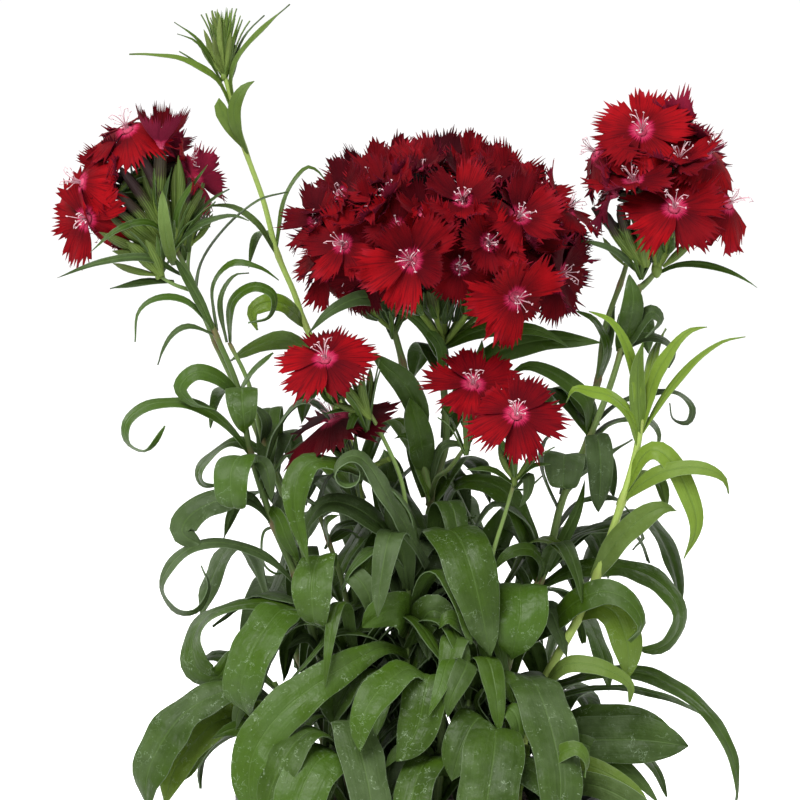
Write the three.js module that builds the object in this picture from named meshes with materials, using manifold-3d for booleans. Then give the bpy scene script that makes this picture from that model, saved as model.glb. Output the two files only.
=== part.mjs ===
// A potted dianthus: flowering stems, leafy shoots and toothed crimson florets in a 12 cm pot.
//
// Frame: millimetres, +Z up, origin at the centre of the pot's flat underside, the plant's
// front towards -Y. Green pieces are one solid for each stem with its leaves, bracts, calyxes
// and buds; red pieces are one solid for each head or bloom.

import * as THREE from 'three';
import { mergeVertices } from 'three/addons/utils/BufferGeometryUtils.js';
import Module from 'manifold-3d';

const wasm = await Module();
wasm.setup();

// ---------------------------------------------------------------- driving dimensions (mm)

const CLEAR = 0.3; // gap between pieces that touch

const POT = {
  height: 95,
  rimRadius: 60,
  rimBand: 9,
  rimStep: 2.5,
  baseRadius: 44,
  wall: 1.6,
  floor: 2.4,
  sides: 30,
  drainHoles: 4,
  drainRadius: 4,
  drainCircle: 30,
  drainSides: 8,
  lip: 1, // rounding of the rim
};

const SOIL = {
  top: 84,
  lump: 1.6, // height of the lumps on its top
  rings: 2,
  sides: 18,
  sideGap: 0.55, // to the pot's wall, which is faceted
  holeClear: 0.7,
  holeBottom: 60,
  holeSides: 5,
};

const STALK = { sides: 5, step: 18, knot: 1.35 };

const BLADE = {
  thick: 1.5, // depth of the keel along the midrib
  root: 0.9, // half width and depth of the end that is sunk in the stalk
  base: 0.42, // width where the leaf leaves its stalk, as a share of the full width
  peak: 0.4, // place of the full width along the leaf
  taper: 2.5, // how full the leaf stays towards its tip
  wave: 0.035, // rise and fall of the edges, as a share of the width
};

// reach values are shares of a floret's radius; a rim point lies at each angle (degrees) of a petal
const FLORET = {
  petals: 5,
  rimAngles: [-36, -25, -12.5, 0, 12.5, 25],
  rimReach: [0.52, 0.92, 0.8, 1, 0.8, 0.92], // parting of two petals, then tooth, valley, tooth...
  ring: 0.55, // place of the middle of a petal
  thick: 1.5,
  claw: 3, // depth of the funnel below the eye, where the petals narrow into the calyx
  ruffle: 0.07, // rise and fall of the teeth
};

const CALYX = {
  length: 18,
  share: 0.75, // largest part of the way from knot to floret that the calyx takes
  radius: 2.3,
  mouth: 1.9,
  foot: 0.9,
  clear: 0.4, // from its mouth to the floret
  sides: 4,
};

const BUD = { sides: 3, root: 0.45, sunk: 1 };

const RECEPTACLE = { sides: 6, rings: 3 };

const COLOURS = {
  pot: { color: 0x0d0d0e, roughness: 0.32, metalness: 0 },
  soil: { color: 0x241a12, roughness: 0.95, metalness: 0 },
  foliage: { color: 0x3f6a2c, roughness: 0.6, metalness: 0 },
  youngFoliage: { color: 0x86ab35, roughness: 0.55, metalness: 0 },
  petals: { color: 0xa30d17, roughness: 0.8, metalness: 0 },
};

// ---------------------------------------------------------------- the plant's plan
//
// stalks: { r: [foot radius, top radius], pts: [x, y, z, knot] } with knot 1 at a swelling
// leaves: [width, face, point, point, ...] from root to tip; face is the angle in degrees by
//         which the upper side is turned towards the front
// buds:   [radius, root, tip] for each pointed bud
// calyxes of the florets come from the head's own list, with the stalk that carries them

const STEM_LEFT = {
  stalks: [
    { r: [2.3, 1.6], pts: [[-24, -12, 60], [-24, -12, 88], [-27, -12, 108], [-29, -13, 127], [-34, -13, 145],
      [-40, -13, 165, 1], [-47, -13, 182, 1], [-54, -12, 204, 1], [-58, -12, 225], [-65, -11, 242, 1],
      [-72, -10, 258], [-78, -10, 270, 1]] },
    { r: [1.7, 1.3], pts: [[-34, -12, 146], [-36, -4, 165], [-43, 2, 188], [-52, 5, 208, 1], [-62, 6, 229],
      [-66, 5, 238, 1], [-72, 3, 253, 1], [-76, 0, 264]] },
    { r: [1.4, 1.1], pts: [[-40, -12, 166], [-43, -7, 186], [-50.5, -5, 208, 1], [-55, -5, 226], [-61, -6, 239, 1]] },
    { r: [0.8, 0.7], pts: [[-73, -10, 256], [-78, -13, 258], [-83, -14, 261]] },
    { r: [0.9, 0.7], pts: [[-74.5, 1, 259], [-74, -4, 265], [-73, -6, 271]] },
  ],
  leaves: [
    [5, 25, [-65, -11, 243], [-74, -14, 253], [-83, -16, 254], [-89, -16, 250], [-91, -15, 240]],
    [5, 25, [-65, -10, 243], [-66, -14, 257], [-60, -17, 265], [-51, -18, 264], [-44.5, -17, 260]],
    [7, 35, [-61, -6, 237], [-60, -13, 252], [-52, -16, 258], [-46, -16, 255], [-48, -16, 248], [-55, -15, 245]],
    [9, 45, [-57, -12, 222], [-64, -18, 229], [-71, -21, 231], [-76, -21, 226], [-72, -20, 221], [-65, -19, 219]],
    [11, 0, [-57, -12, 224], [-58, -21, 229], [-58, -28, 225], [-57, -30, 213]],
    [7, 28, [-54, -12, 204], [-60, -14, 212], [-67, -15, 218], [-76, -16, 221], [-86, -16, 220], [-93, -16, 215],
      [-93, -16, 208], [-87, -16, 205], [-80, -16, 212]],
    [13, 0, [-54, -12, 203], [-58, -21, 207], [-62, -28, 203], [-62, -30, 193], [-62, -28, 185]],
    [9, 20, [-50, -5, 204], [-60, -3, 207], [-69, -3, 201], [-72, -3, 194], [-70, -3, 188]],
    [8, 30, [-47, -13, 182], [-54, -15, 190], [-63, -16, 190], [-72, -17, 186], [-76, -17, 180], [-70, -17, 177]],
    [7, 28, [-40, -14, 166], [-48, -16, 175], [-58, -17, 179], [-69, -17, 179], [-78, -17, 174], [-82, -17, 165],
      [-78, -17, 158], [-71, -17, 158], [-67, -17, 165], [-69, -17, 173]],
    [10, 20, [-39, -13, 160], [-49, -10, 162], [-59, -9, 161], [-69, -9, 158], [-74, -9, 150], [-73, -9, 141],
      [-66, -9, 138], [-61, -9, 143]],
    [18, 0, [-39, -14, 157], [-44, -24, 161], [-50, -33, 155], [-55, -38, 145], [-57, -38, 135], [-56, -36, 127]],
    [8, 30, [-38, -12, 156], [-50, -4, 158], [-59, -2, 153], [-67, -2, 147]],
    [6, 40, [-48, -13, 187], [-45, -19, 184], [-42, -21, 177], [-38.5, -20, 170]],
    [6, 30, [-72, -10, 254], [-70, -3, 265], [-62, 0, 276], [-52, 1, 284], [-42.5, 1, 287]],
    [4, 30, [-77, -10, 267], [-86, -20, 268], [-100, -25, 266], [-114, -25, 261]],
    [9, 0, [-55, 5, 214], [-60, 16, 222], [-66, 28, 220], [-70, 36, 208]],
    [9, 0, [-48, 4, 198], [-46, 16, 207], [-43, 28, 205], [-40, 36, 192]],
    [10, 0, [-40, -2, 178], [-48, 10, 188], [-58, 22, 186], [-66, 30, 172]],
  ],
  receptacles: [[-78, -10, 270, 3.6], [-83, -14, 261, 2], [-73, -6, 271, 2]],
  buds: [
    [1.5, [-83, -14, 261], [-97, -17, 265]],
    [1.5, [-83, -14, 261], [-92, -15, 272]],
    [1.5, [-82, -14, 260], [-87, -18, 270]],
    [1.5, [-73, -6, 271], [-73, -8, 284]],
    [1.4, [-73, -6, 271], [-69, -7, 282]],
    [2.4, [-78, -10, 270], [-88, -17, 296]],
    [2.4, [-78, -10, 270], [-77, -18, 296]],
    [2.2, [-78, -10, 270], [-68, -16, 290]],
    [1.3, [-73, -6, 270], [-66, -5, 280]],
  ],
};

const STEM_TALL = {
  stalks: [
    { r: [2.2, 1.3], pts: [[-10, 12, 60], [-10, 12, 88], [-12, 12, 130], [-17, 13, 172, 1], [-20, 14, 190],
      [-25, 15, 213, 1], [-31, 16, 229], [-37.5, 17, 243, 1], [-41, 18, 253], [-46.5, 19, 266, 1], [-51, 20, 283],
      [-57, 20, 300, 1], [-61, 20, 315, 1], [-63, 20, 322]] },
  ],
  leaves: [
    [4, 40, [-57, 20, 299], [-60, 18, 311], [-54, 17, 321]],
    [3, 30, [-63, 20, 320], [-75, 16, 328], [-93, 14, 330.5]],
    [4, 40, [-62, 20, 320], [-57, 16, 333], [-50, 14, 340], [-42, 13, 346]],
    [6, 30, [-47, 19, 267], [-44, 17, 284], [-38, 16, 293], [-34, 16, 293.5], [-29.5, 16, 290]],
    [5, 35, [-47, 19, 266], [-52, 15, 277], [-60, 14, 283], [-70, 14, 282]],
    [7, 50, [-38, 17, 243], [-43, 9, 249], [-48, 6, 252], [-53, 5, 250], [-50, 5, 243]],
    [8, 40, [-38, 17, 242], [-44, 24, 243], [-52, 26, 241], [-60, 26, 236]],
    [9, 0, [-26, 15, 214], [-30, 26, 224], [-36, 38, 222], [-40, 46, 208]],
    [9, 10, [-19, 14, 186], [-28, 22, 196], [-34, 32, 194], [-38, 38, 181]],
    [8, 0, [-46, 19, 265], [-50, 28, 272], [-54, 36, 270], [-57, 41, 260]],
    [9, 20, [-14, 13, 150], [-22, 17, 163], [-30, 20, 165], [-38, 22, 158]],
    [12, 20, [-12, 12, 128], [-20, 3, 138], [-29, 0, 133], [-32, 0, 119]],
    [12, 20, [-11, 12, 104], [-19, 0, 113], [-26, -2, 107], [-29, -2, 96]],
  ],
  receptacles: [[-63, 20, 321, 3]],
  buds: [
    [1.6, [-63, 20, 321], [-75, 19, 334]],
    [1.6, [-63, 20, 321], [-72, 14, 338]],
    [1.6, [-63, 20, 321], [-70, 23, 341]],
    [1.6, [-63, 20, 321], [-68, 16, 344]],
    [1.6, [-63, 20, 321], [-65, 22, 344.5]],
    [1.6, [-63, 20, 321], [-63, 14, 343]],
    [1.6, [-63, 20, 321], [-60, 19, 343]],
    [1.6, [-63, 20, 321], [-57, 15, 337]],
    [1.6, [-63, 20, 321], [-72, 29, 334]],
    [1.6, [-63, 20, 321], [-60, 28, 338]],
  ],
};

const STEM_CENTRE = {
  stalks: [
    { r: [2.6, 1.9], pts: [[4, 4, 60], [4, 4, 88], [4, 3, 130, 1], [3.5, 2, 181], [3, 1, 190, 1], [8, 1, 206],
      [7, 1, 229, 1], [7.5, 1, 240]] },
    { r: [1.7, 1.4], pts: [[3, 1, 190], [-1, -3, 207], [-3, -4, 220], [-6, -4, 233, 1], [-9, -3, 244]] },
    { r: [1.1, 0.9], pts: [[3, 1, 188], [5, -10, 196], [9, -23, 201], [14, -31, 209]] },
  ],
  leaves: [
    [6, 20, [7, 1, 230], [4, 8, 240], [-4, 12, 249]],
    [8, 35, [7, 0, 227], [18, -4, 232], [27, -6, 237], [40, -8, 240], [57, -9, 240]],
    [5, 35, [7.5, 0, 237], [19, -8, 243], [33, -12, 244], [41, -13, 242], [47, -13, 239]],
    [8, 60, [-1, -3, 208], [-1, -9, 217], [-5, -11, 226], [-11, -12, 232], [-16, -12, 237]],
    [9, 0, [1, -1, 197], [0, -10, 208], [-2, -13, 216], [-3.5, -13, 222]],
    [20, 0, [3.5, 1, 172], [6, -13, 185], [11, -28, 187], [15, -37, 178], [18, -41, 167], [21, -41, 154]],
    [8, 30, [3, 1, 174], [-5, -6, 181], [-11, -9, 178], [-16, -11, 171], [-20, -12, 163], [-22, -12, 155]],
    [6, 30, [4, 1, 170], [0, -14, 178], [-7, -17, 173], [-12, -18, 166], [-14, -18, 158], [-12, -18, 150]],
    [9, 25, [3, 2, 171], [-2, 6, 182], [-8, 10, 190], [-15, 12, 193]],
    [8, 20, [4, 3, 165], [-6, 8, 175], [-15, 4, 180], [-26, 4, 179], [-32, 4, 172]],
    [10, 20, [4, 2, 150], [12, -8, 162], [3, -14, 168], [-6, -15, 165]],
    [9, 0, [8, 1, 208], [12, 13, 218], [15, 25, 215], [17, 32, 203]],
    [9, 0, [7, 1, 228], [4, 13, 236], [0, 24, 234], [-3, 32, 224]],
    [10, 0, [3, 2, 186], [10, 14, 198], [18, 24, 197], [24, 30, 184]],
    [6, 40, [7, 1, 215], [14, -6, 224], [18, -8, 232], [20, -8, 240]],
    [12, 10, [4, 3, 128], [-3, -7, 137], [-11, -8, 132], [-15, -8, 119]],
    [13, 10, [4, 3, 126], [14, -8, 134], [19, -11, 127], [21, -11, 114]],
  ],
  receptacles: [[14, -31, 209, 2]],
  buds: [],
};

const STEM_RIGHT = {
  stalks: [
    { r: [2.4, 1.6], pts: [[24, -1, 60], [24, -1, 88], [25, -1, 121], [27.5, -1, 134, 1], [38, -1, 161, 1],
      [41, -1, 169], [45.5, 0, 188], [54, 0, 208, 1], [60, 0, 223], [64, 0, 236, 1], [68, 0, 250], [70, 0, 257, 1]] },
    { r: [1.7, 1.4], pts: [[54, 0, 208], [54, 4, 217], [57, 6, 226, 1], [59, 7, 242], [64, 6, 257, 1], [66, 4, 264]] },
    { r: [1.3, 1.1], pts: [[70, 0, 256], [73, -1, 259], [75, -2, 262]] },
  ],
  leaves: [
    [4, 30, [75, -1, 260], [85, -5, 264], [96, -7, 262], [107, -8, 258]],
    [4, 30, [70.5, -0.5, 257], [62, -8, 267], [53, -9, 271], [47, -9, 270]],
    [8, 0, [64, 0, 236], [66, -8, 245], [67, -11, 253], [66, -9, 261]],
    [7, 35, [64, 0, 235], [69, -6, 245], [73, -8, 249], [76, -8, 246], [72, -8, 240]],
    [5, 35, [64, 0, 236], [72, 2, 240], [78, 2, 239], [81, 2, 235], [79.5, 2, 230]],
    [5, 30, [57, 6, 225], [60, 3, 236], [56, 1, 245], [50, 0, 249]],
    [6, 35, [54, 0, 210], [53, -5, 220], [47, -7, 226], [41, -8, 230], [34, -8, 232], [28, -8, 230]],
    [9, 0, [54, 0, 208], [56, -8, 209], [57, -11, 200], [56.5, -9, 185]],
    [4, 30, [54, 0, 211], [61, 4, 217], [68, 5, 220.5], [76, 6, 222], [83, 6, 221.5], [87.5, 6, 217], [86, 6, 212],
      [81, 6, 213], [79.5, 6, 218]],
    [6, 30, [54, 0, 207], [60, 5, 211.5], [67, 6, 213.5], [73, 6, 213], [77, 6, 208], [76, 6, 202]],
    [13, 0, [46, 0, 192], [46, -12, 203], [45, -22, 204], [44.5, -27, 197], [44, -26, 189]],
    [5, 30, [45, 0, 187], [49, 4, 193], [55, 6, 198], [62, 6, 203], [68, 6, 207]],
    [5, 30, [43, 0, 178], [50, 4, 186], [58, 5, 188], [64, 5, 187], [68, 5, 183]],
    [7, 30, [41, 0, 168], [50, 6, 175], [58, 8, 177], [66, 9, 178], [72, 9, 175], [69, 9, 170]],
    [6, 30, [41, 0, 165], [54, 15, 176], [66, 20, 178], [72, 21, 172], [75, 21, 165]],
    [6, 30, [44, 0, 184], [39, 4, 196], [39, 4, 205], [43, 4, 211]],
    [9, 35, [38, -1, 162], [34, -1, 178], [28, 2, 189], [19, 7, 193], [11, 9, 191], [8, 9, 185], [12, 9, 180],
      [18, 9, 181]],
    [5, 35, [38, -1, 161], [39, -6, 168], [35, -9, 173], [28, -10, 172], [22, -10, 166]],
    [9, 30, [37, -1, 157], [43, -10, 159], [50, -24, 163], [58, -29, 165], [66, -30, 161], [70, -30, 154],
      [67, -29, 148]],
    [18, 0, [36, -1, 156], [33, -14, 166], [31, -26, 167], [31, -34, 160], [29, -37, 151], [28, -36, 144]],
    [10, 20, [38, -1, 160], [46, 6, 157], [51, 7, 149], [53, 7, 140]],
    [21, 0, [28, -2, 131], [31, -16, 141], [35, -34, 141], [40, -48, 129], [42, -57, 115], [41, -62, 102],
      [39, -64, 88]],
    [9, 25, [39, 0, 163], [50, 2, 168], [66, 2, 168], [75, 2, 165], [82, 2, 158], [83, 2, 150], [79, 2, 144],
      [72, 2, 141], [67, 2, 143]],
    [10, 0, [46, 1, 190], [52, 14, 200], [59, 26, 198], [64, 33, 184]],
    [9, 0, [54.5, 0, 209], [47, 12, 221], [42, 23, 220], [38, 30, 209]],
    [9, 0, [64, 1, 236], [68, 12, 246], [72, 22, 244], [75, 29, 233]],
    [11, 0, [40, 0, 166], [48, 14, 176], [57, 27, 173], [63, 34, 158]],
  ],
  receptacles: [[75, -2, 262, 3.6], [66, 4, 264, 2.2]],
  buds: [
    [1.4, [66, 4, 264], [61, 5, 277]],
    [1.4, [66, 4, 264], [66, 8, 278]],
  ],
};

const SHOOT_RIGHT = {
  stalks: [
    { r: [2.4, 1.6], pts: [[30, -20, 60], [30, -20, 88], [32, -19, 111], [38, -18, 130, 1], [51, -16, 154, 1],
      [56, -15, 166, 1], [64, -14, 190, 1], [68, -13, 204], [69.5, -13, 214, 1], [70, -13, 220]] },
  ],
  leaves: [
    [8, 50, [55, -15, 165], [62, -18, 177], [69, -20, 184], [76, -21, 188.5], [81, -20, 188]],
    [8, 50, [65, -14, 193], [70, -17, 204], [75, -19, 206], [80, -21, 201], [84, -22, 193], [87, -22, 183],
      [85, -21, 171]],
    [6, 35, [64, -14, 190], [73, -21, 198], [81, -24, 201], [89, -25, 201], [95, -25, 198], [97, -24, 193]],
    [7, 35, [69, -13, 207], [66, -17, 217], [60, -20, 223], [53, -21, 225], [48, -22, 226], [45, -22, 222]],
    [9, 0, [69, -13, 210], [69, -17, 225], [70, -21, 236], [72, -27, 242]],
    [7, 40, [70, -13, 213], [73, -16, 227], [78, -18, 237], [84, -19, 244], [89.5, -19, 246]],
    [6, 35, [70, -13, 211], [77, -15, 222], [86, -17, 233], [94, -18, 240], [102, -18, 242]],
    [5, 35, [69, -13, 213], [68, -18, 227], [65, -20, 238], [60, -21, 247], [53, -21, 251]],
    [8, 0, [70, -12, 212], [72, -4, 225], [75, 3, 236], [78, 9, 243]],
    [8, 35, [51, -16, 153], [56, -21, 157], [61, -23, 155], [64, -24, 149], [65.5, -24, 142], [65, -23, 134]],
    [6, 35, [38, -18, 129], [45, -24, 138], [53, -27, 139], [60, -28, 137], [66, -28, 133], [67, -27, 127]],
    [8, 0, [63, -13, 188], [70, -5, 197], [76, 2, 195], [80, 6, 185]],
  ],
  receptacles: [],
  buds: [],
};

const STEM_LOW_LEFT = {
  stalks: [
    { r: [2.0, 1.3], pts: [[-5, -18, 60], [-5, -18, 88], [-5, -19, 120], [-4, -20, 150, 1], [-4, -22, 175, 1],
      [-6, -25, 196], [-13, -27, 213], [-17, -28, 220, 1]] },
    { r: [0.8, 0.8], pts: [[-13, -27, 212], [-17, -23, 216], [-22, -20, 217]] },
  ],
  leaves: [
    [14, 55, [-4, -22, 177], [-8, -28, 190], [-14, -31, 198], [-22, -34, 205], [-32, -36, 208], [-41, -36, 205],
      [-45, -35, 197], [-42, -34, 189]],
    [17, 40, [-4, -20, 146], [-12, -30, 150], [-22, -38, 146], [-33, -44, 140], [-42, -48, 134], [-49, -50, 126],
      [-53, -52, 116], [-53, -53, 105], [-50, -52, 98]],
    [8, 40, [-4, -22, 173], [-13, -24, 183], [-22, -24, 189], [-30, -24, 190], [-36, -24, 184], [-38, -24, 177]],
    [6, 20, [-4, -22, 174], [-11, -18, 183], [-15, -15, 193]],
    [12, 50, [-4, -20, 148], [-6, -32, 157], [-12, -36, 157], [-19, -37, 153]],
    [11, 50, [-4, -20, 146], [2, -30, 156], [6, -31, 156], [10, -31, 151]],
  ],
  receptacles: [[-17, -28, 219, 2.4], [-22, -20, 217, 2]],
  buds: [
    [1.6, [-17, -28, 219], [-28, -31, 229]],
    [1.5, [-17, -28, 219], [-27, -29, 222]],
    [1.6, [-17, -28, 219], [-16, -27, 233]],
    [1.3, [-17, -27, 218], [-14, -22, 229]],
  ],
};

const STEM_LOW_RIGHT = {
  stalks: [
    { r: [1.9, 1.2], pts: [[15, -24, 60], [15, -24, 88], [15, -25, 120], [17, -26, 148, 1], [22, -29, 173],
      [26, -31, 187], [29, -33, 198, 1]] },
  ],
  leaves: [
    [4, 40, [29, -33, 196], [33, -36, 200], [33, -37, 195], [31, -37, 190]],
    [7, 20, [17, -26, 147], [12, -36, 154], [8, -39, 156], [5, -40, 153]],
    [10, 30, [15, -25, 120], [22, -32, 134], [27, -36, 135], [29, -38, 128]],
  ],
  receptacles: [[29, -33, 198, 2.2]],
  buds: [
    [1.6, [29, -33, 198], [36, -33, 209]],
    [1.5, [29, -33, 198], [24, -33, 210]],
  ],
};

const SHOOT_LEFT_INNER = {
  stalks: [
    { r: [1.9, 1.2], pts: [[-17, -20, 60], [-17, -20, 88], [-20, -20, 130], [-24, -20, 160], [-29.5, -20, 178, 1],
      [-33, -20, 188, 1]] },
  ],
  leaves: [
    [14, 0, [-29, -20, 177], [-32, -30, 181], [-34, -38, 174], [-34, -41, 164], [-34, -40, 154]],
    [5, 35, [-29, -20, 177], [-23, -15, 180], [-18, -14, 176]],
    [7, 20, [-33, -20, 188], [-39, -23, 194], [-38, -25, 201]],
    [7, 30, [-25, -20, 163], [-22, -28, 168], [-17, -31, 163], [-15, -31, 153]],
    [5, 30, [-33, -20, 187], [-30, -14, 196], [-26, -12, 199]],
  ],
  receptacles: [],
  buds: [],
};

const SHOOT_FRONT_LEFT = {
  stalks: [
    { r: [2.0, 1.6], pts: [[-21, -38, 60], [-21, -38, 88], [-23, -39, 106, 1], [-24, -39, 122, 1]] },
  ],
  leaves: [
    [14, 0, [-24, -39, 119], [-23, -47, 125], [-20, -55, 120], [-17, -61, 110], [-15, -66, 98], [-15, -67, 84]],
    [17, 20, [-23, -39, 106], [-27, -48, 115], [-33, -57, 113], [-38, -63, 103], [-41, -66, 90]],
    [13, 10, [-24, -39, 114], [-33, -47, 122], [-40, -54, 118], [-46, -58, 107], [-49, -60, 96]],
    [9, 30, [-24, -39, 120], [-28, -35, 128], [-31, -31, 133], [-36, -29, 134]],
    [8, 20, [-24, -39, 121], [-20, -34, 130], [-14, -32, 131], [-10, -33, 125]],
  ],
  receptacles: [],
  buds: [],
};

const SHOOT_FRONT = {
  stalks: [
    { r: [2.0, 1.5], pts: [[4, -38, 60], [4, -38, 88], [6, -38, 110], [7, -38, 134, 1], [10, -38, 144, 1]] },
  ],
  leaves: [
    [11, 30, [7, -38, 132], [-3, -46, 141], [-10, -54, 139], [-16, -60, 133], [-19, -62, 126], [-19.5, -62, 118]],
    [14, 0, [7, -38, 130], [3, -45, 139], [1, -51, 134], [-1, -54, 125], [-4, -56, 119], [-8, -56, 114]],
    [5, 10, [10, -38, 143], [8, -46, 143], [5.5, -53, 136], [2, -56, 128]],
    [7, 10, [10, -38, 142], [14, -45, 143], [12, -51, 139], [9, -54, 133], [8, -54, 127]],
    [6, 30, [8, -38, 136], [13, -35, 142], [18, -35, 140], [21, -36, 134]],
    [6, 40, [6, -38, 108], [0, -46, 116], [-7, -50, 116], [-12, -51, 111]],
    [13, 0, [6, -38, 106], [3, -48, 114], [-1, -57, 110], [-4, -64, 99], [-5, -67, 87]],
  ],
  receptacles: [],
  buds: [],
};

const SHOOT_FRONT_RIGHT = {
  stalks: [
    { r: [2.0, 1.6], pts: [[21, -40, 60], [21, -40, 88], [23, -40, 106, 1], [23, -40, 121, 1]] },
  ],
  leaves: [
    [13, 20, [23, -40, 120], [18, -48, 126], [13, -54, 120], [9, -57, 108]],
    [19, 0, [23, -40, 116], [23, -50, 123], [22, -60, 116], [20, -66, 104], [19, -68, 92], [18, -67, 80]],
    [7, 30, [23, -40, 121], [27, -44, 128], [30, -46, 124], [30, -47, 116]],
    [5, 30, [23, -40, 119], [17, -37, 128], [19, -36, 133]],
    [12, 20, [23, -40, 104], [31, -47, 110], [39, -52, 106], [46, -55, 97]],
  ],
  receptacles: [],
  buds: [],
};

const SHOOT_LEFT = {
  stalks: [
    { r: [2.0, 1.5], pts: [[-37, -6, 60], [-37, -6, 88], [-41, -7, 108, 1], [-45, -8, 124, 1], [-47, -8, 130]] },
  ],
  leaves: [
    [15, 30, [-46, -9, 126], [-56, -15, 134], [-66, -19, 133], [-76, -22, 127], [-83, -24, 117], [-87, -24, 107],
      [-87, -24, 97]],
    [11, 20, [-46, -8, 128], [-58, -2, 136], [-68, 0, 137], [-71, 0, 130], [-69, 0, 121]],
    [13, 35, [-45, -8, 121], [-56, -8, 124], [-66, -9, 118], [-73, -10, 110], [-80, -11, 101], [-82, -11, 95]],
    [12, 20, [-41, -6, 108], [-54, 3, 113], [-64, 4, 109], [-71, 4, 102], [-73, 4, 93]],
    [7, 30, [-41, -8, 110], [-52, -22, 117], [-60, -25, 118], [-66, -26, 115]],
    [6, 30, [-45, -9, 122], [-52, -20, 129], [-57, -24, 125], [-60, -25, 116]],
  ],
  receptacles: [],
  buds: [],
};

const SHOOT_RIGHT_LOW = {
  stalks: [
    { r: [2.1, 1.6], pts: [[37, 2, 60], [37, 2, 88], [40, 2, 108, 1], [42, 2, 124, 1], [43, 2, 130]] },
  ],
  leaves: [
    [11, 30, [43, 2, 127], [57, -3, 133], [70, -5, 134], [82, -7, 130], [92, -8, 123], [99, -9, 112], [103, -9, 100],
      [103, -9, 92]],
    [5, 30, [42, 2, 123], [56, 4, 126], [69, 4, 125.5], [81, 3, 122.5], [91, 2, 118], [97, 2, 112]],
    [17, 55, [41, 1, 114], [50, -8, 117], [61, -14, 118], [73, -18, 118], [85, -20, 116]],
    [6, 30, [40, 1, 108], [50, -10, 111], [59, -13, 107], [67, -14, 102], [77, -15, 92]],
    [8, 30, [41, 3, 108], [54, 6, 110], [66, 6, 108], [75, 6, 101], [81, 6, 90]],
    [6, 30, [39, 0, 103], [48, -16, 106], [58, -24, 104], [68, -27, 98], [74, -28, 91]],
    [10, 0, [41, 3, 112], [48, 14, 122], [55, 25, 119], [59, 33, 106]],
  ],
  receptacles: [],
  buds: [],
};

// leafy shoots on the far side: foot, height, lean and the number of leaf pairs
const BACK_SHOOTS = {
  shoot_back_left: { foot: [-30, 26], height: 66, lean: [-20, 9], turn: 0.52, pairs: 3, seed: 4 },
  shoot_back: { foot: [2, 40], height: 74, lean: [0, 14], turn: 1.04, pairs: 3, seed: 5 },
  shoot_back_right: { foot: [32, 24], height: 68, lean: [20, 9], turn: 0.78, pairs: 3, seed: 1 },
};

const BACK_LEAF = { length: [44, 62], width: [9, 13], rise: 0.34, droop: 0.42, jitter: 0.35 };

// heads: florets as [x, y, z, facing x, y, z, radius, cup, spin]; cup below 0 curls the petals back
const HEADS = {
  head_left: {
    stem: 'stem_left',
    knot: [-78, -10, 270],
    calyxes: [0, 3, 6],
    florets: [
      [-98, -14, 303, -0.5, -0.35, 0.8, 15, -0.15, 10],
      [-91, -2, 309, -0.15, 0.1, 1.0, 14, 0.1, 40],
      [-79, -12, 309, 0, -0.15, 1.0, 13, 0.45, 0],
      [-70, -10, 300, 0.75, -0.25, 0.6, 13, 0.1, 20],
      [-107, -16, 291, -0.8, -0.5, 0.3, 15, -0.1, 55],
      [-107, -14, 277, -0.85, -0.5, -0.15, 15, -0.2, 5],
      [-101, -5, 276, -0.8, 0.3, -0.35, 14, -0.1, 30],
      [-85, 8, 300, -0.2, 0.8, 0.6, 14, 0, 15],
      [-72, 8, 290, 0.5, 0.8, 0.3, 13, 0, 50],
    ],
  },
  head_right: {
    stem: 'stem_right',
    knot: [75, -2, 262],
    calyxes: [3, 4, 5],
    florets: [
      [69, -8, 306, -0.2, -0.55, 0.8, 16, -0.05, 0],
      [87, -3, 307, 0.5, -0.25, 0.8, 15, -0.1, 25],
      [97, -9, 296, 0.8, -0.35, 0.35, 12, -0.2, 60],
      [61, -12, 291, -0.75, -0.45, 0.3, 14, 0.1, 10],
      [79, -24, 284, 0.05, -0.97, 0.2, 17, -0.05, 18],
      [95, -12, 284, 0.85, -0.5, -0.1, 15, -0.3, 50],
      [84, 10, 297, 0.35, 0.75, 0.5, 15, 0, 48],
      [65, 7, 297, -0.7, 0.6, 0.4, 14, 0, 5],
    ],
  },
};

// the centre head: a dome with a floret facing out of it at each place, [x, z] on its front,
// [x, y] on its crown and [x, z] on its far side, with how far the floret stands out
const DOME = {
  centre: [7, 0, 264],
  radii: [40, 36, 34],
  core: { inset: 1.2, bottom: 254.6 },
  coreRings: 3,
  coreSides: 12,
  floretRadius: 13.8,
  claw: 5,
  knots: [[7.5, 1, 238], [-9, -3, 243]],
  pedicels: 7,
  pedicel: { spread: 20, foot: 1, top: 2, upright: 7, sides: 4, clear: 0.5 },
};

const DOME_FRONT = [
  [-22, 272, 2], [-1, 272, 4.5], [26, 257, 4], [18, 270, 0], [12, 287, 3], [31, 279, 4], [44, 279, 1], [42, 262, 1],
  [-10, 290, 0], [31, 293, 1], [-24, 285, 0], [-32, 267, 0], [-28, 255, 3], [-12, 252, 1], [8, 255, 1],
];

const DOME_CROWN = [[5, -2, 4], [-11, 9, 1], [16, 15, 0]];

const DOME_BACK = [[-22, 275, 3], [1, 280, 0], [28, 279, 3], [-2, 259, 2], [26, 260, 0]];

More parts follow.
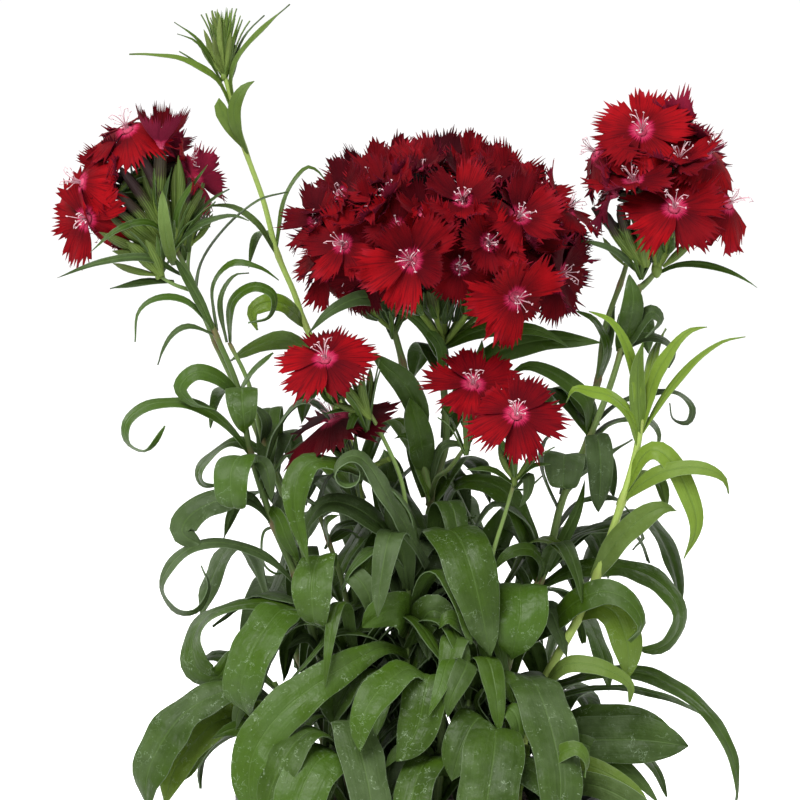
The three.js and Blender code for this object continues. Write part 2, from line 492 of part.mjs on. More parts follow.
// single blooms: node name, floret row, and the point on the stem that carries the calyx
const BLOOMS = {
  bloom_low_left: {
    stem: 'stem_low_left',
    knot: [-17, -28, 219],
    floret: [-30, -37, 237, -0.15, -0.62, 0.78, 17, -0.05, 8],
  },
  bloom_low_left_rear: {
    stem: 'stem_low_left',
    knot: [-22, -20, 217],
    floret: [-34, -16, 213, -0.55, 0.8, -0.1, 15, -0.1, 22],
  },
  bloom_low_right: {
    stem: 'stem_centre',
    knot: [14, -31, 209],
    floret: [16, -36, 229, 0, -0.6, 0.8, 17, -0.05, 30],
  },
  bloom_low_right_front: {
    stem: 'stem_low_right',
    knot: [29, -33, 198],
    floret: [29, -50, 221, 0.05, -0.75, 0.65, 17, -0.08, 0],
  },
};

// ---------------------------------------------------------------- solids

// A closed geometry as a solid: shared points merged, triangles that fold to a line dropped.
function solidOf(geometry) {
  geometry.deleteAttribute('normal');
  geometry.deleteAttribute('uv');
  const merged = mergeVertices(geometry, 1e-4);
  const index = merged.index.array;
  const triangles = [];
  for (let i = 0; i < index.length; i += 3) {
    const [a, b, c] = [index[i], index[i + 1], index[i + 2]];
    if (a !== b && b !== c && c !== a) triangles.push(a, b, c);
  }
  return new wasm.Manifold(new wasm.Mesh({
    numProp: 3,
    vertProperties: new Float32Array(merged.attributes.position.array),
    triVerts: new Uint32Array(triangles),
  }));
}

// The union of many solids, joined in pairs so that each step stays small.
function union(solids) {
  let layer = solids;
  while (layer.length > 1) {
    const next = [];
    for (let i = 0; i < layer.length; i += 2) {
      next.push(i + 1 < layer.length ? layer[i].add(layer[i + 1]) : layer[i]);
    }
    layer = next;
  }
  return layer[0];
}

// The largest body of a solid, with loose scraps left off.
function mainBody(solid) {
  const bodies = solid.decompose();
  bodies.sort((a, b) => b.volume() - a.volume());
  return bodies[0];
}

function meshOf(name, solid, finish) {
  const result = solid.getMesh();
  const geometry = new THREE.BufferGeometry();
  geometry.setAttribute('position', new THREE.Float32BufferAttribute(result.vertProperties, 3));
  geometry.setIndex(new THREE.Uint32BufferAttribute(result.triVerts, 1));
  geometry.computeVertexNormals();
  const mesh = new THREE.Mesh(geometry, new THREE.MeshStandardMaterial({ ...finish, name: `${name}_finish` }));
  mesh.name = name;
  return mesh;
}

// Small seeded generator, so that every build draws the same plant.
function randomFrom(seed) {
  let state = seed >>> 0;
  return () => {
    state = (state + 0x6d2b79f5) >>> 0;
    let t = state;
    t = Math.imul(t ^ (t >>> 15), t | 1);
    t ^= t + Math.imul(t ^ (t >>> 7), t | 61);
    return ((t ^ (t >>> 14)) >>> 0) / 4294967296;
  };
}

const vec = (p) => new THREE.Vector3(p[0], p[1], p[2]);

const splineThrough = (points) => new THREE.CatmullRomCurve3(points.map(vec), false, 'catmullrom', 0.5);

// ---------------------------------------------------------------- tubes: stems, calyxes, buds

// A closed tube along a spline; radius(u) gives its radius from foot (u = 0) to top (u = 1).
function tube(points, radius, sides, steps) {
  const curve = splineThrough(points);
  const frames = curve.computeFrenetFrames(steps, false);
  const geometry = new THREE.CylinderGeometry(1, 1, 1, sides, steps);
  const position = geometry.attributes.position;
  for (let i = 0; i < position.count; i += 1) {
    const step = Math.round((position.getY(i) + 0.5) * steps);
    const u = step / steps;
    const place = curve.getPointAt(u);
    place.addScaledVector(frames.normals[step], position.getX(i) * radius(u));
    place.addScaledVector(frames.binormals[step], -position.getZ(i) * radius(u));
    position.setXYZ(i, place.x, place.y, place.z);
  }
  return solidOf(geometry);
}

// A stalk: tapered, with a swelling at each knot.
function stalk({ r: [foot, top], pts }) {
  const curve = splineThrough(pts);
  const lengths = curve.getLengths(200);
  const total = lengths[200];
  const knots = [];
  pts.forEach((point, i) => {
    if (point[3]) knots.push(lengths[Math.round((200 * i) / (pts.length - 1))] / total);
  });
  const steps = Math.max(2, Math.round(total / STALK.step));
  const radius = (u) => {
    const atKnot = knots.some((k) => Math.abs(k - u) * steps < 0.5);
    return (foot + (top - foot) * u) * (atKnot ? STALK.knot : 1);
  };
  return tube(pts, radius, STALK.sides, steps);
}

// A pointed bud from its root to its tip.
function bud([radius, root, tip]) {
  const start = vec(root);
  start.lerp(vec(tip), BUD.sunk / start.distanceTo(vec(tip)));
  const belly = (u) => (u === 1 ? 0 : radius * (u === 0 ? BUD.root : 1));
  return tube([start.toArray(), tip], belly, BUD.sides, 2);
}

// The swollen end of a stalk that buds and calyxes spring from.
function receptacle([x, y, z, radius]) {
  const ball = new THREE.SphereGeometry(radius, RECEPTACLE.sides, RECEPTACLE.rings);
  ball.translate(x, y, z);
  return solidOf(ball);
}

// A calyx on its short pedicel: from the knot to just below the floret's eye, along its facing.
function calyx(knot, floret) {
  const [x, y, z, nx, ny, nz] = floret;
  const facing = new THREE.Vector3(nx, ny, nz).normalize();
  const eye = new THREE.Vector3(x, y, z);
  const mouth = eye.clone().addScaledVector(facing, -(FLORET.claw + CALYX.clear));
  const start = vec(knot);
  const reach = mouth.distanceTo(start);
  start.lerp(mouth, BUD.sunk / reach);
  const neck = mouth.clone().addScaledVector(facing, -Math.min(CALYX.length, reach * CALYX.share));
  const points = [start, neck, mouth].map((p) => p.toArray());
  const profile = [CALYX.foot, CALYX.foot, CALYX.radius, CALYX.mouth];
  const radius = (u) => profile[Math.round(u * (profile.length - 1))];
  return tube(points, radius, CALYX.sides, profile.length - 1);
}

// ---------------------------------------------------------------- leaves

// Side direction of a leaf: across the plane in which its spine arches.
function leafSide(points) {
  const across = new THREE.Vector3();
  for (let i = 0; i + 2 < points.length; i += 1) {
    const first = vec(points[i + 1]).sub(vec(points[i]));
    const second = vec(points[i + 2]).sub(vec(points[i + 1]));
    across.add(first.cross(second));
  }
  return across.normalize();
}

function leafWidth(u) {
  if (u < BLADE.peak) {
    return BLADE.base + (1 - BLADE.base) * Math.sin((u / BLADE.peak) * (Math.PI / 2));
  }
  return 1 - ((u - BLADE.peak) / (1 - BLADE.peak)) ** BLADE.taper;
}

// A leaf blade: flat or waved above, with its midrib as a keel below, drawn out to a sharp tip.
function leaf([width, face, ...points]) {
  const curve = splineThrough(points);
  const length = curve.getLength();
  const steps = Math.max(3, points.length - 1, Math.min(7, Math.round(length / 12)));
  const side = leafSide(points);
  const turn = THREE.MathUtils.degToRad(face) * (side.y < -0.3 ? -1 : 1);
  const position = [];
  const index = [];
  for (let i = 0; i < steps; i += 1) {
    const u = i / steps;
    const centre = curve.getPointAt(u);
    const along = curve.getTangentAt(u);
    const across = side.clone().addScaledVector(along, -side.dot(along)).normalize();
    const up = along.clone().cross(across);
    const s = across.clone().multiplyScalar(Math.cos(turn)).addScaledVector(up, Math.sin(turn));
    const n = along.clone().cross(s);
    const half = i ? (width / 2) * leafWidth(u) : BLADE.root;
    const wave = i ? BLADE.wave * width * Math.sin(2.3 * i + points[0][0]) : 0;
    const left = centre.clone().addScaledVector(s, -half).addScaledVector(n, wave);
    const right = centre.clone().addScaledVector(s, half).addScaledVector(n, -wave);
    const keel = centre.clone().addScaledVector(n, i ? -BLADE.thick : -BLADE.root);
    for (const p of [left, right, keel]) position.push(p.x, p.y, p.z);
  }
  const tip = curve.getPointAt(1);
  position.push(tip.x, tip.y, tip.z);
  index.push(0, 1, 2);
  for (let i = 0; i < steps - 1; i += 1) {
    const [l, r, k] = [3 * i, 3 * i + 1, 3 * i + 2];
    const [L, R, K] = [l + 3, r + 3, k + 3];
    index.push(l, R, r, l, L, R);
    index.push(l, k, K, l, K, L, r, R, k, k, R, K);
  }
  const end = 3 * steps;
  index.push(end - 3, end, end - 2, end - 3, end - 1, end, end - 2, end, end - 1);
  const geometry = new THREE.BufferGeometry();
  geometry.setAttribute('position', new THREE.Float32BufferAttribute(position, 3));
  geometry.setIndex(index);
  return solidOf(geometry);
}

// ---------------------------------------------------------------- florets

// A floret: one waved blade with five toothed petals, thick round its eye and thin at its teeth.
function floret([x, y, z, nx, ny, nz, radius, cup, spin, claw = FLORET.claw]) {
  const facing = new THREE.Vector3(nx, ny, nz).normalize();
  const tilt = new THREE.Quaternion().setFromUnitVectors(new THREE.Vector3(0, 0, 1), facing);
  const place = new THREE.Matrix4().compose(new THREE.Vector3(x, y, z), tilt, new THREE.Vector3(1, 1, 1));
  const petals = FLORET.petals;
  const { rimAngles, rimReach } = FLORET;
  const rimCount = rimAngles.length;
  const point = (angle, reach, lift) => new THREE.Vector3(
    radius * reach * Math.cos(angle),
    radius * reach * Math.sin(angle),
    radius * (cup * reach * reach + lift),
  ).applyMatrix4(place);
  const position = [];
  const push = (p) => position.push(p.x, p.y, p.z);
  push(point(0, 0, FLORET.thick / 2 / radius));
  push(point(0, 0, -claw / radius));
  for (let k = 0; k < petals; k += 1) {
    const angle = THREE.MathUtils.degToRad(spin + 72 * k);
    push(point(angle, FLORET.ring, FLORET.ruffle / 2 + FLORET.thick / 2 / radius));
    push(point(angle, FLORET.ring, FLORET.ruffle / 2 - FLORET.thick / 2 / radius));
  }
  const rimStart = 2 + 2 * petals;
  for (let k = 0; k < petals; k += 1) {
    for (let j = 0; j < rimCount; j += 1) {
      const angle = THREE.MathUtils.degToRad(spin + 72 * k + rimAngles[j]);
      const lift = j === 0 ? 0 : FLORET.ruffle * Math.sin(1.7 * (j + 2 * k) + spin);
      push(point(angle, rimReach[j], lift));
    }
  }
  const index = [];
  const rim = (j) => rimStart + (j % (petals * rimCount));
  for (const under of [0, 1]) {
    const add = (a, b, c) => (under ? index.push(a, c, b) : index.push(a, b, c));
    for (let k = 0; k < petals; k += 1) {
      const middle = 2 + 2 * k + under;
      add(under, rim(k * rimCount), middle);
      for (let j = 0; j < rimCount; j += 1) add(middle, rim(k * rimCount + j), rim(k * rimCount + j + 1));
      add(under, middle, rim((k + 1) * rimCount));
    }
  }
  const geometry = new THREE.BufferGeometry();
  geometry.setAttribute('position', new THREE.Float32BufferAttribute(position, 3));
  geometry.setIndex(index);
  return solidOf(geometry);
}

// Florets of the centre head, each at its place on the dome and facing out of it.
function domeFlorets() {
  const [cx, cy, cz] = DOME.centre;
  const [a, b, c] = DOME.radii;
  const rows = [];
  const add = (x, y, z, lift) => {
    const normal = new THREE.Vector3((x - cx) / a ** 2, (y - cy) / b ** 2, (z - cz) / c ** 2).normalize();
    const p = new THREE.Vector3(x, y, z).addScaledVector(normal, lift);
    const spin = (rows.length * 37) % 72;
    const cup = 0.02 + 0.03 * ((rows.length * 3) % 4);
    rows.push([p.x, p.y, p.z, normal.x, normal.y, normal.z, DOME.floretRadius + lift / 2,
      cup, spin, DOME.claw + lift]);
  };
  const depth = (x, z) => b * Math.sqrt(Math.max(0.02, 1 - ((x - cx) / a) ** 2 - ((z - cz) / c) ** 2));
  for (const [x, z, lift] of DOME_FRONT) add(x, cy - depth(x, z), z, lift);
  for (const [x, y, lift] of DOME_CROWN) {
    add(x, y, cz + c * Math.sqrt(1 - ((x - cx) / a) ** 2 - ((y - cy) / b) ** 2), lift);
  }
  for (const [x, z, lift] of DOME_BACK) add(x, cy + depth(x, z), z, lift);
  return rows;
}

// The dense heart of the centre head, flat below, which the florets stand out of.
function domeCore() {
  const { inset, bottom } = DOME.core;
  const [a, b, c] = DOME.radii.map((radius) => radius - inset);
  const profile = [new THREE.Vector2(0, bottom - DOME.centre[2])];
  for (let i = 0; i <= DOME.coreRings; i += 1) {
    const angle = (i / DOME.coreRings) * (Math.PI / 2);
    const height = i ? c * Math.sin(angle) : bottom - DOME.centre[2];
    profile.push(new THREE.Vector2(i < DOME.coreRings ? Math.cos(angle) : 0, height));
  }
  const geometry = new THREE.LatheGeometry(profile, DOME.coreSides);
  geometry.rotateX(Math.PI / 2);
  geometry.scale(a, b, 1);
  geometry.translate(...DOME.centre);
  return solidOf(geometry);
}

// Green pedicels and calyxes that spread from the top of the centre stem to the heart's underside.
function domePedicels() {
  const solids = [];
  const { spread, foot, top, upright, sides, clear } = DOME.pedicel;
  const radius = (u) => foot + (top - foot) * u;
  for (let i = 0; i < DOME.pedicels; i += 1) {
    const angle = (i / DOME.pedicels) * Math.PI * 2;
    const knot = DOME.knots[Math.cos(angle) < -0.4 ? 1 : 0];
    const end = [
      DOME.centre[0] + spread * Math.cos(angle),
      DOME.centre[1] + spread * Math.sin(angle),
      DOME.core.bottom - clear,
    ];
    const below = [end[0], end[1], end[2] - upright];
    solids.push(tube([knot, below, end], radius, sides, 3));
  }
  return solids;
}

// ---------------------------------------------------------------- shoots on the far side

// An arching leaf that leaves a point of a stalk in the direction of angle (radians).
function archLeaf(root, angle, length, width, lift) {
  const [x, y, z] = root;
  const at = (out, up) => [
    x + out * length * Math.cos(angle),
    y + out * length * Math.sin(angle),
    z + up * length,
  ];
  const { rise, droop } = BACK_LEAF;
  return [
    width, 0, at(0, 0), at(0.25, rise * lift), at(0.55, rise * lift * 1.2), at(0.8, rise * lift * 0.6 - 0.05),
    at(0.95, -droop * 0.75 + 0.1 * lift),
  ];
}

function backShoot({ foot, height, lean, turn, pairs, seed }) {
  const random = randomFrom(seed);
  const between = ([low, high]) => low + (high - low) * random();
  const at = (t) => [foot[0] + lean[0] * t * t, foot[1] + lean[1] * t * t, SOIL.top + height * t];
  const pts = [[foot[0], foot[1], SOIL.holeBottom], [...at(0)], [...at(0.35), 1], [...at(0.7), 1], [...at(1), 1]];
  const leaves = [];
  for (let i = 0; i < pairs; i += 1) {
    const t = 0.3 + (0.7 * i) / (pairs - 1);
    const heading = turn + (i % 2) * (Math.PI / 2);
    for (const half of [0, 1]) {
      const angle = heading + half * Math.PI + BACK_LEAF.jitter * (random() - 0.5);
      const outward = Math.sin(angle) > -0.2 ? 1 : 0.55;
      const length = between(BACK_LEAF.length) * outward;
      leaves.push(archLeaf(at(t), angle, length, between(BACK_LEAF.width), outward < 1 ? 1.6 : 0.8 + 0.4 * t));
    }
  }
  return { stalks: [{ r: [2.1, 1.4], pts }], leaves, receptacles: [], buds: [] };
}

// ---------------------------------------------------------------- pot and soil

function lathe(profile, sides) {
  const geometry = new THREE.LatheGeometry(profile.map(([r, z]) => new THREE.Vector2(r, z)), sides);
  geometry.rotateX(Math.PI / 2);
  return solidOf(geometry);
}

// Outer radius of the pot's body at height z, below its rim band.
function potRadius(z) {
  const top = POT.rimRadius - POT.rimStep;
  return POT.baseRadius + ((top - POT.baseRadius) * z) / (POT.height - POT.rimBand);
}

function buildPot() {
  const { height, rimRadius, rimBand, baseRadius, wall, floor, lip } = POT;
  const bandFoot = height - rimBand;
  const outside = [[0, 0], [baseRadius - lip, 0], [baseRadius, lip], [potRadius(bandFoot), bandFoot],
    [rimRadius, bandFoot + lip], [rimRadius, height - lip], [rimRadius - lip, height]];
  const inside = [[rimRadius - wall - lip, height], [potRadius(bandFoot) - wall, bandFoot - 2 * lip],
    [baseRadius - wall, floor], [0, floor]];
  let pot = lathe([...outside, ...inside], POT.sides);
  for (let i = 0; i < POT.drainHoles; i += 1) {
    const angle = ((i + 0.5) / POT.drainHoles) * Math.PI * 2;
    const drill = new THREE.CylinderGeometry(POT.drainRadius, POT.drainRadius, 4 * floor, POT.drainSides);
    drill.rotateX(Math.PI / 2);
    drill.translate(POT.drainCircle * Math.cos(angle), POT.drainCircle * Math.sin(angle), 0);
    pot = pot.subtract(solidOf(drill));
  }
  return pot;
}

// Soil: fills the pot to below its rim, with a lumpy top and a plain hole for each stalk's foot.
function buildSoil(feet) {
  const bottom = POT.floor + CLEAR;
  const gap = POT.wall + SOIL.sideGap;
  const outer = potRadius(SOIL.top) - gap;
  const profile = [[0, bottom], [POT.baseRadius - gap - SOIL.sideGap, bottom], [outer, SOIL.top - 1]];
  for (let i = SOIL.rings - 1; i >= 0; i -= 1) profile.push([(outer * i) / SOIL.rings, SOIL.top]);
  const geometry = new THREE.LatheGeometry(profile.map(([r, z]) => new THREE.Vector2(r, z)), SOIL.sides);
  const position = geometry.attributes.position;
  for (let i = 0; i < position.count; i += 1) {
    const [x, z, y] = [position.getX(i), position.getY(i), position.getZ(i)];
    if (z > SOIL.top - 0.5) {
      const lump = Math.sin(0.31 * x + 1.3) * Math.cos(0.27 * y) + 0.6 * Math.sin(0.53 * x - 0.61 * y);
      position.setY(i, z + SOIL.lump * lump * (1 - Math.hypot(x, y) / 90));
    }
  }
  geometry.rotateX(Math.PI / 2);
  let soil = solidOf(geometry);
  const depth = 2 * (SOIL.top - SOIL.holeBottom);
  for (const [x, y, r] of feet) {
    const hole = new THREE.CylinderGeometry(r, r, depth, SOIL.holeSides);
    hole.rotateX(Math.PI / 2);
    hole.translate(x, y, SOIL.holeBottom - CLEAR + depth / 2);
    soil = soil.subtract(solidOf(hole));
  }
  return mainBody(soil);
}

// ---------------------------------------------------------------- the plant put together

const PLANTS = {
  stem_left: STEM_LEFT,
  stem_tall: STEM_TALL,
  stem_centre: STEM_CENTRE,
  stem_right: STEM_RIGHT,
  shoot_right: SHOOT_RIGHT,
  stem_low_left: STEM_LOW_LEFT,
  stem_low_right: STEM_LOW_RIGHT,
  shoot_left_inner: SHOOT_LEFT_INNER,
  shoot_front_left: SHOOT_FRONT_LEFT,
  shoot_front: SHOOT_FRONT,
  shoot_front_right: SHOOT_FRONT_RIGHT,
  shoot_left: SHOOT_LEFT,
  shoot_right_low: SHOOT_RIGHT_LOW,
};

for (const [name, rule] of Object.entries(BACK_SHOOTS)) PLANTS[name] = backShoot(rule);

const plant = new THREE.Group();
plant.name = 'potted_dianthus';

const greens = {};
const feet = [];
for (const [name, plan] of Object.entries(PLANTS)) {
  greens[name] = [...plan.stalks.map(stalk), ...plan.leaves.map(leaf), ...plan.receptacles.map(receptacle),
    ...plan.buds.map(bud)];
  const [x, y] = plan.stalks[0].pts[0];
  feet.push([x, y, plan.stalks[0].r[0] + SOIL.holeClear]);
}

const reds = {};
for (const [name, head] of Object.entries(HEADS)) {
  greens[head.stem].push(...head.calyxes.map((i) => calyx(head.knot, head.florets[i])));
  reds[name] = head.florets.map(floret);
}
for (const [name, bloom] of Object.entries(BLOOMS)) {
  greens[bloom.stem].push(calyx(bloom.knot, bloom.floret));
  reds[name] = [floret(bloom.floret)];
}
greens.stem_centre.push(...domePedicels());
reds.head_centre = [domeCore(), ...domeFlorets().map(floret)];

plant.add(meshOf('pot', buildPot(), COLOURS.pot));
plant.add(meshOf('soil', buildSoil(feet), COLOURS.soil));
for (const [name, solids] of Object.entries(greens)) {
  const finish = name === 'shoot_right' ? COLOURS.youngFoliage : COLOURS.foliage;
  plant.add(meshOf(name, mainBody(union(solids)), finish));
}
for (const [name, solids] of Object.entries(reds)) {
  plant.add(meshOf(name, mainBody(union(solids)), COLOURS.petals));
}

export default plant;
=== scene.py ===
"""Dresses the potted dianthus in its frame: velvety toothed florets, arching leaves and a black nursery pot.

The plant's plan is laid out in millimetres, with the same places as the solids it stands for. A shape
begins as a plain stock mesh made with bmesh operators, is bent to its place, and joins the piece of
its node; a piece is turned to metres when it is finished.
"""

import logging
import math
import random
from dataclasses import dataclass
from enum import Enum, IntEnum
from functools import cache
from typing import Iterator, Sequence

import bmesh
import bpy
import numpy as np
from mathutils import Matrix, Vector, noise


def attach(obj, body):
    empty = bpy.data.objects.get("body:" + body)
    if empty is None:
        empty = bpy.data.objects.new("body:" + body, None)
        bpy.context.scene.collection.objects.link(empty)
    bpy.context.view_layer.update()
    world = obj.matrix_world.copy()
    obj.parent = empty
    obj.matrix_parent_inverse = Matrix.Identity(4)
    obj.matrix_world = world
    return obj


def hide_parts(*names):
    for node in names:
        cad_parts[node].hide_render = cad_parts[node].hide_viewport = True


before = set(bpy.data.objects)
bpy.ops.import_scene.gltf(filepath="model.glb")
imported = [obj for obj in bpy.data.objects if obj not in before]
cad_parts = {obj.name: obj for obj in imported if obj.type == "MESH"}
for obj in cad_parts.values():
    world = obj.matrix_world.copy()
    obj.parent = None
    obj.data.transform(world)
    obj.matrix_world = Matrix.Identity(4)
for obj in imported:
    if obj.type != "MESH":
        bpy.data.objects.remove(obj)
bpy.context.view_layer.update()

LOG = logging.getLogger("dianthus")
MM = 0.001
TURN = 6.3  # what a chance angle in radians stays below, about a full turn
Point = tuple[float, ...]
Colour = tuple[float, float, float]


class Slot(Enum):
    """The record's material slots."""

    POT = "pot"
    SOIL = "soil"
    FOLIAGE = "foliage"
    YOUNG_FOLIAGE = "young_foliage"
    PETALS = "petals"


class Seed(IntEnum):
    """First seeds of the chance that shapes the plant."""

    STEMS = 100
    HEADS = 200
    CENTRE = 300
    HEART = 301


class GreenPart(IntEnum):
    """Place of each finish in the slots of a green piece."""

    LEAF = 0
    STALK = 1
    CALYX = 2


class RedPart(IntEnum):
    """Place of each finish in the slots of a flower head."""

    PETAL = 0
    THREAD = 1
    HEART = 2


# ---------------------------------------------------------------- curves


class Spline:
    """A smooth curve through points, read by shares of its own length."""

    DIVISIONS = 200
    STEP = 1e-4

    def __init__(self, points: Sequence[Point]) -> None:
        """Lays the curve through the points.

        Args:
            points: places in millimetres; anything past the third number of one is left alone.
        """
        rows = np.array([point[:3] for point in points], float)
        first, last = 2 * rows[0] - rows[1], 2 * rows[-1] - rows[-2]
        self.rows = np.vstack([first, rows, last])
        self.spans = len(rows) - 1
        self.steps = np.linspace(0, 1, self.DIVISIONS + 1)
        walk = self._at(self.steps)
        self.lengths = np.concatenate([[0.0], np.cumsum(np.linalg.norm(np.diff(walk, axis=0), axis=1))])
        self.length = float(self.lengths[-1])

    def _at(self, parameter: np.ndarray) -> np.ndarray:
        """Places at plain parameters from 0 to 1."""
        place = np.clip(parameter, 0, 1) * self.spans
        span = np.minimum(place.astype(int), self.spans - 1)
        w = (place - span)[:, None]
        p0, p1, p2, p3 = (self.rows[span + k] for k in range(4))
        v0, v1 = (p2 - p0) / 2, (p3 - p1) / 2
        return (2 * p1 - 2 * p2 + v0 + v1) * w**3 + (3 * p2 - 3 * p1 - 2 * v0 - v1) * w**2 + v0 * w + p1

    def _parameter(self, share: np.ndarray) -> np.ndarray:
        """Plain parameters at shares of the curve's length."""
        return np.interp(np.asarray(share, float) * self.length, self.lengths, self.steps)

    def places(self, share: np.ndarray) -> np.ndarray:
        """Places at shares of the curve's length."""
        return self._at(self._parameter(share))

    def headings(self, share: np.ndarray) -> np.ndarray:
        """Unit directions of travel at shares of the curve's length."""
        parameter = self._parameter(share)
        return units(self._at(parameter + self.STEP) - self._at(parameter - self.STEP))

    def frames(self, share: np.ndarray) -> tuple[np.ndarray, np.ndarray, np.ndarray]:
        """Directions that follow the curve without twist.

        Args:
            share: shares of the length, in rising order.

        Returns:
            Headings, and two unit directions square to them, a row for each share.
        """
        headings = self.headings(share)
        start = np.cross(headings[0], (0.3, -0.9, 0.2))
        sides = []
        for heading in headings:
            start = start - heading * start.dot(heading)
            start = start / np.linalg.norm(start)
            sides.append(start)
        sides = np.array(sides)
        return headings, sides, np.cross(headings, sides)


def unit(vector: Sequence[float]) -> np.ndarray:
    """A vector of length 1 in the given direction."""
    row = np.array(vector, float)
    return row / max(np.linalg.norm(row), 1e-9)


def units(rows: np.ndarray) -> np.ndarray:
    """Each row of an array made a vector of length 1."""
    return rows / np.linalg.norm(rows, axis=1)[:, None]


def smooth(low: float, high: float, value: np.ndarray) -> np.ndarray:
    """Rises smoothly from 0 at low to 1 at high."""
    share = np.clip((value - low) / (high - low), 0, 1)
    return share * share * (3 - 2 * share)


# ---------------------------------------------------------------- stock meshes and pieces


def baked(bm: bmesh.types.BMesh, name: str) -> bpy.types.Mesh:
    """Turns a finished bmesh, which is freed, to a mesh."""
    mesh = bpy.data.meshes.new(name)
    bm.to_mesh(mesh)
    bm.free()
    return mesh


def opened(mesh: bpy.types.Mesh) -> bmesh.types.BMesh:
    """A bmesh with what a mesh holds."""
    bm = bmesh.new()
    bm.from_mesh(mesh)
    return bm


def soften(bm: bmesh.types.BMesh, limit: float) -> None:
    """Shades a bmesh smooth, except at edges sharper than the limit in radians."""
    for edge in bm.edges:
        edge.smooth = len(edge.link_faces) == 2 and edge.calc_face_angle(0.0) < limit
    for face in bm.faces:
        face.smooth = True


def lathe(profile: Sequence[tuple[float, float]], sides: int, scale: float = 1.0) -> bmesh.types.BMesh:
    """Turns a profile round the Z axis.

    Args:
        profile: radii and heights from pole to pole.
        sides: how many steps the turn has.
        scale: what the profile is scaled by.

    Returns:
        The closed shape.
    """
    bm = bmesh.new()
    points = [bm.verts.new((radius * scale, 0, z * scale)) for radius, z in profile]
    edges = [bm.edges.new(pair) for pair in zip(points, points[1:])]
    bmesh.ops.spin(
        bm, geom=points + edges, cent=(0, 0, 0), axis=(0, 0, 1), dvec=(0, 0, 0), angle=2 * math.pi,
        steps=sides, use_merge=True, use_duplicate=False,
    )
    bmesh.ops.remove_doubles(bm, verts=bm.verts[:], dist=1e-3 * scale)
    return bm


def in_scene(name: str, data: bpy.types.ID) -> bpy.types.Object:
    """Puts an object that holds the data in the scene."""
    made = bpy.data.objects.new(name, data)
    bpy.context.scene.collection.objects.link(made)
    return made


@dataclass(frozen=True)
class Stock:
    """A plain mesh that shapes are bent from."""

    mesh: bpy.types.Mesh  # the closed mesh
    grid: np.ndarray  # a row for each point, with the three numbers that its maker names
    faces: int  # how many faces it has


def keep(bm: bmesh.types.BMesh) -> Stock:
    """Turns a closed bmesh, which is freed, to a stock."""
    bmesh.ops.recalc_face_normals(bm, faces=bm.faces[:])
    soften(bm, 1.2)
    mesh = baked(bm, "stock")
    grid = np.zeros(len(mesh.vertices) * 3)
    mesh.vertices.foreach_get("co", grid)
    return Stock(mesh, grid.reshape(-1, 3), len(mesh.polygons))


@cache
def sheet(along: int, across: int) -> Stock:
    """A thin closed sheet. Grid: across from -1 to 1, along from 0 to 1, and 1 below or 0 above."""
    bm = bmesh.new()
    bmesh.ops.create_grid(bm, x_segments=across, y_segments=along, size=1.0)
    place = Matrix.Translation((0, 0.5, 0)) @ Matrix.Diagonal((1, 0.5, 1, 1))
    bmesh.ops.transform(bm, matrix=place, verts=bm.verts[:])
    grown = bmesh.ops.extrude_face_region(bm, geom=bm.faces[:], use_keep_orig=True)
    under = [item for item in grown["geom"] if isinstance(item, bmesh.types.BMVert)]
    bmesh.ops.translate(bm, vec=(0, 0, 1), verts=under)
    return keep(bm)


@cache
def tube(sides: int, rings: int) -> Stock:
    """A closed tube. Grid: cosine and sine of the angle round it, and along from 0 to 1."""
    bm = bmesh.new()
    bmesh.ops.create_circle(bm, cap_ends=True, radius=1.0, segments=sides)
    edges = bm.edges[:]
    for _ in range(rings):
        grown = bmesh.ops.extrude_edge_only(bm, edges=edges)["geom"]
        edges = [item for item in grown if isinstance(item, bmesh.types.BMEdge)]
        ring = [item for item in grown if isinstance(item, bmesh.types.BMVert)]
        bmesh.ops.translate(bm, vec=(0, 0, 1.0 / rings), verts=ring)
    bmesh.ops.contextual_create(bm, geom=edges)
    return keep(bm)


@cache
def bead(subdivisions: int) -> Stock:
    """A round bead of radius 1. Grid: its own x, y and z."""
    bm = bmesh.new()
    bmesh.ops.create_icosphere(bm, subdivisions=subdivisions, radius=1.0)
    return keep(bm)


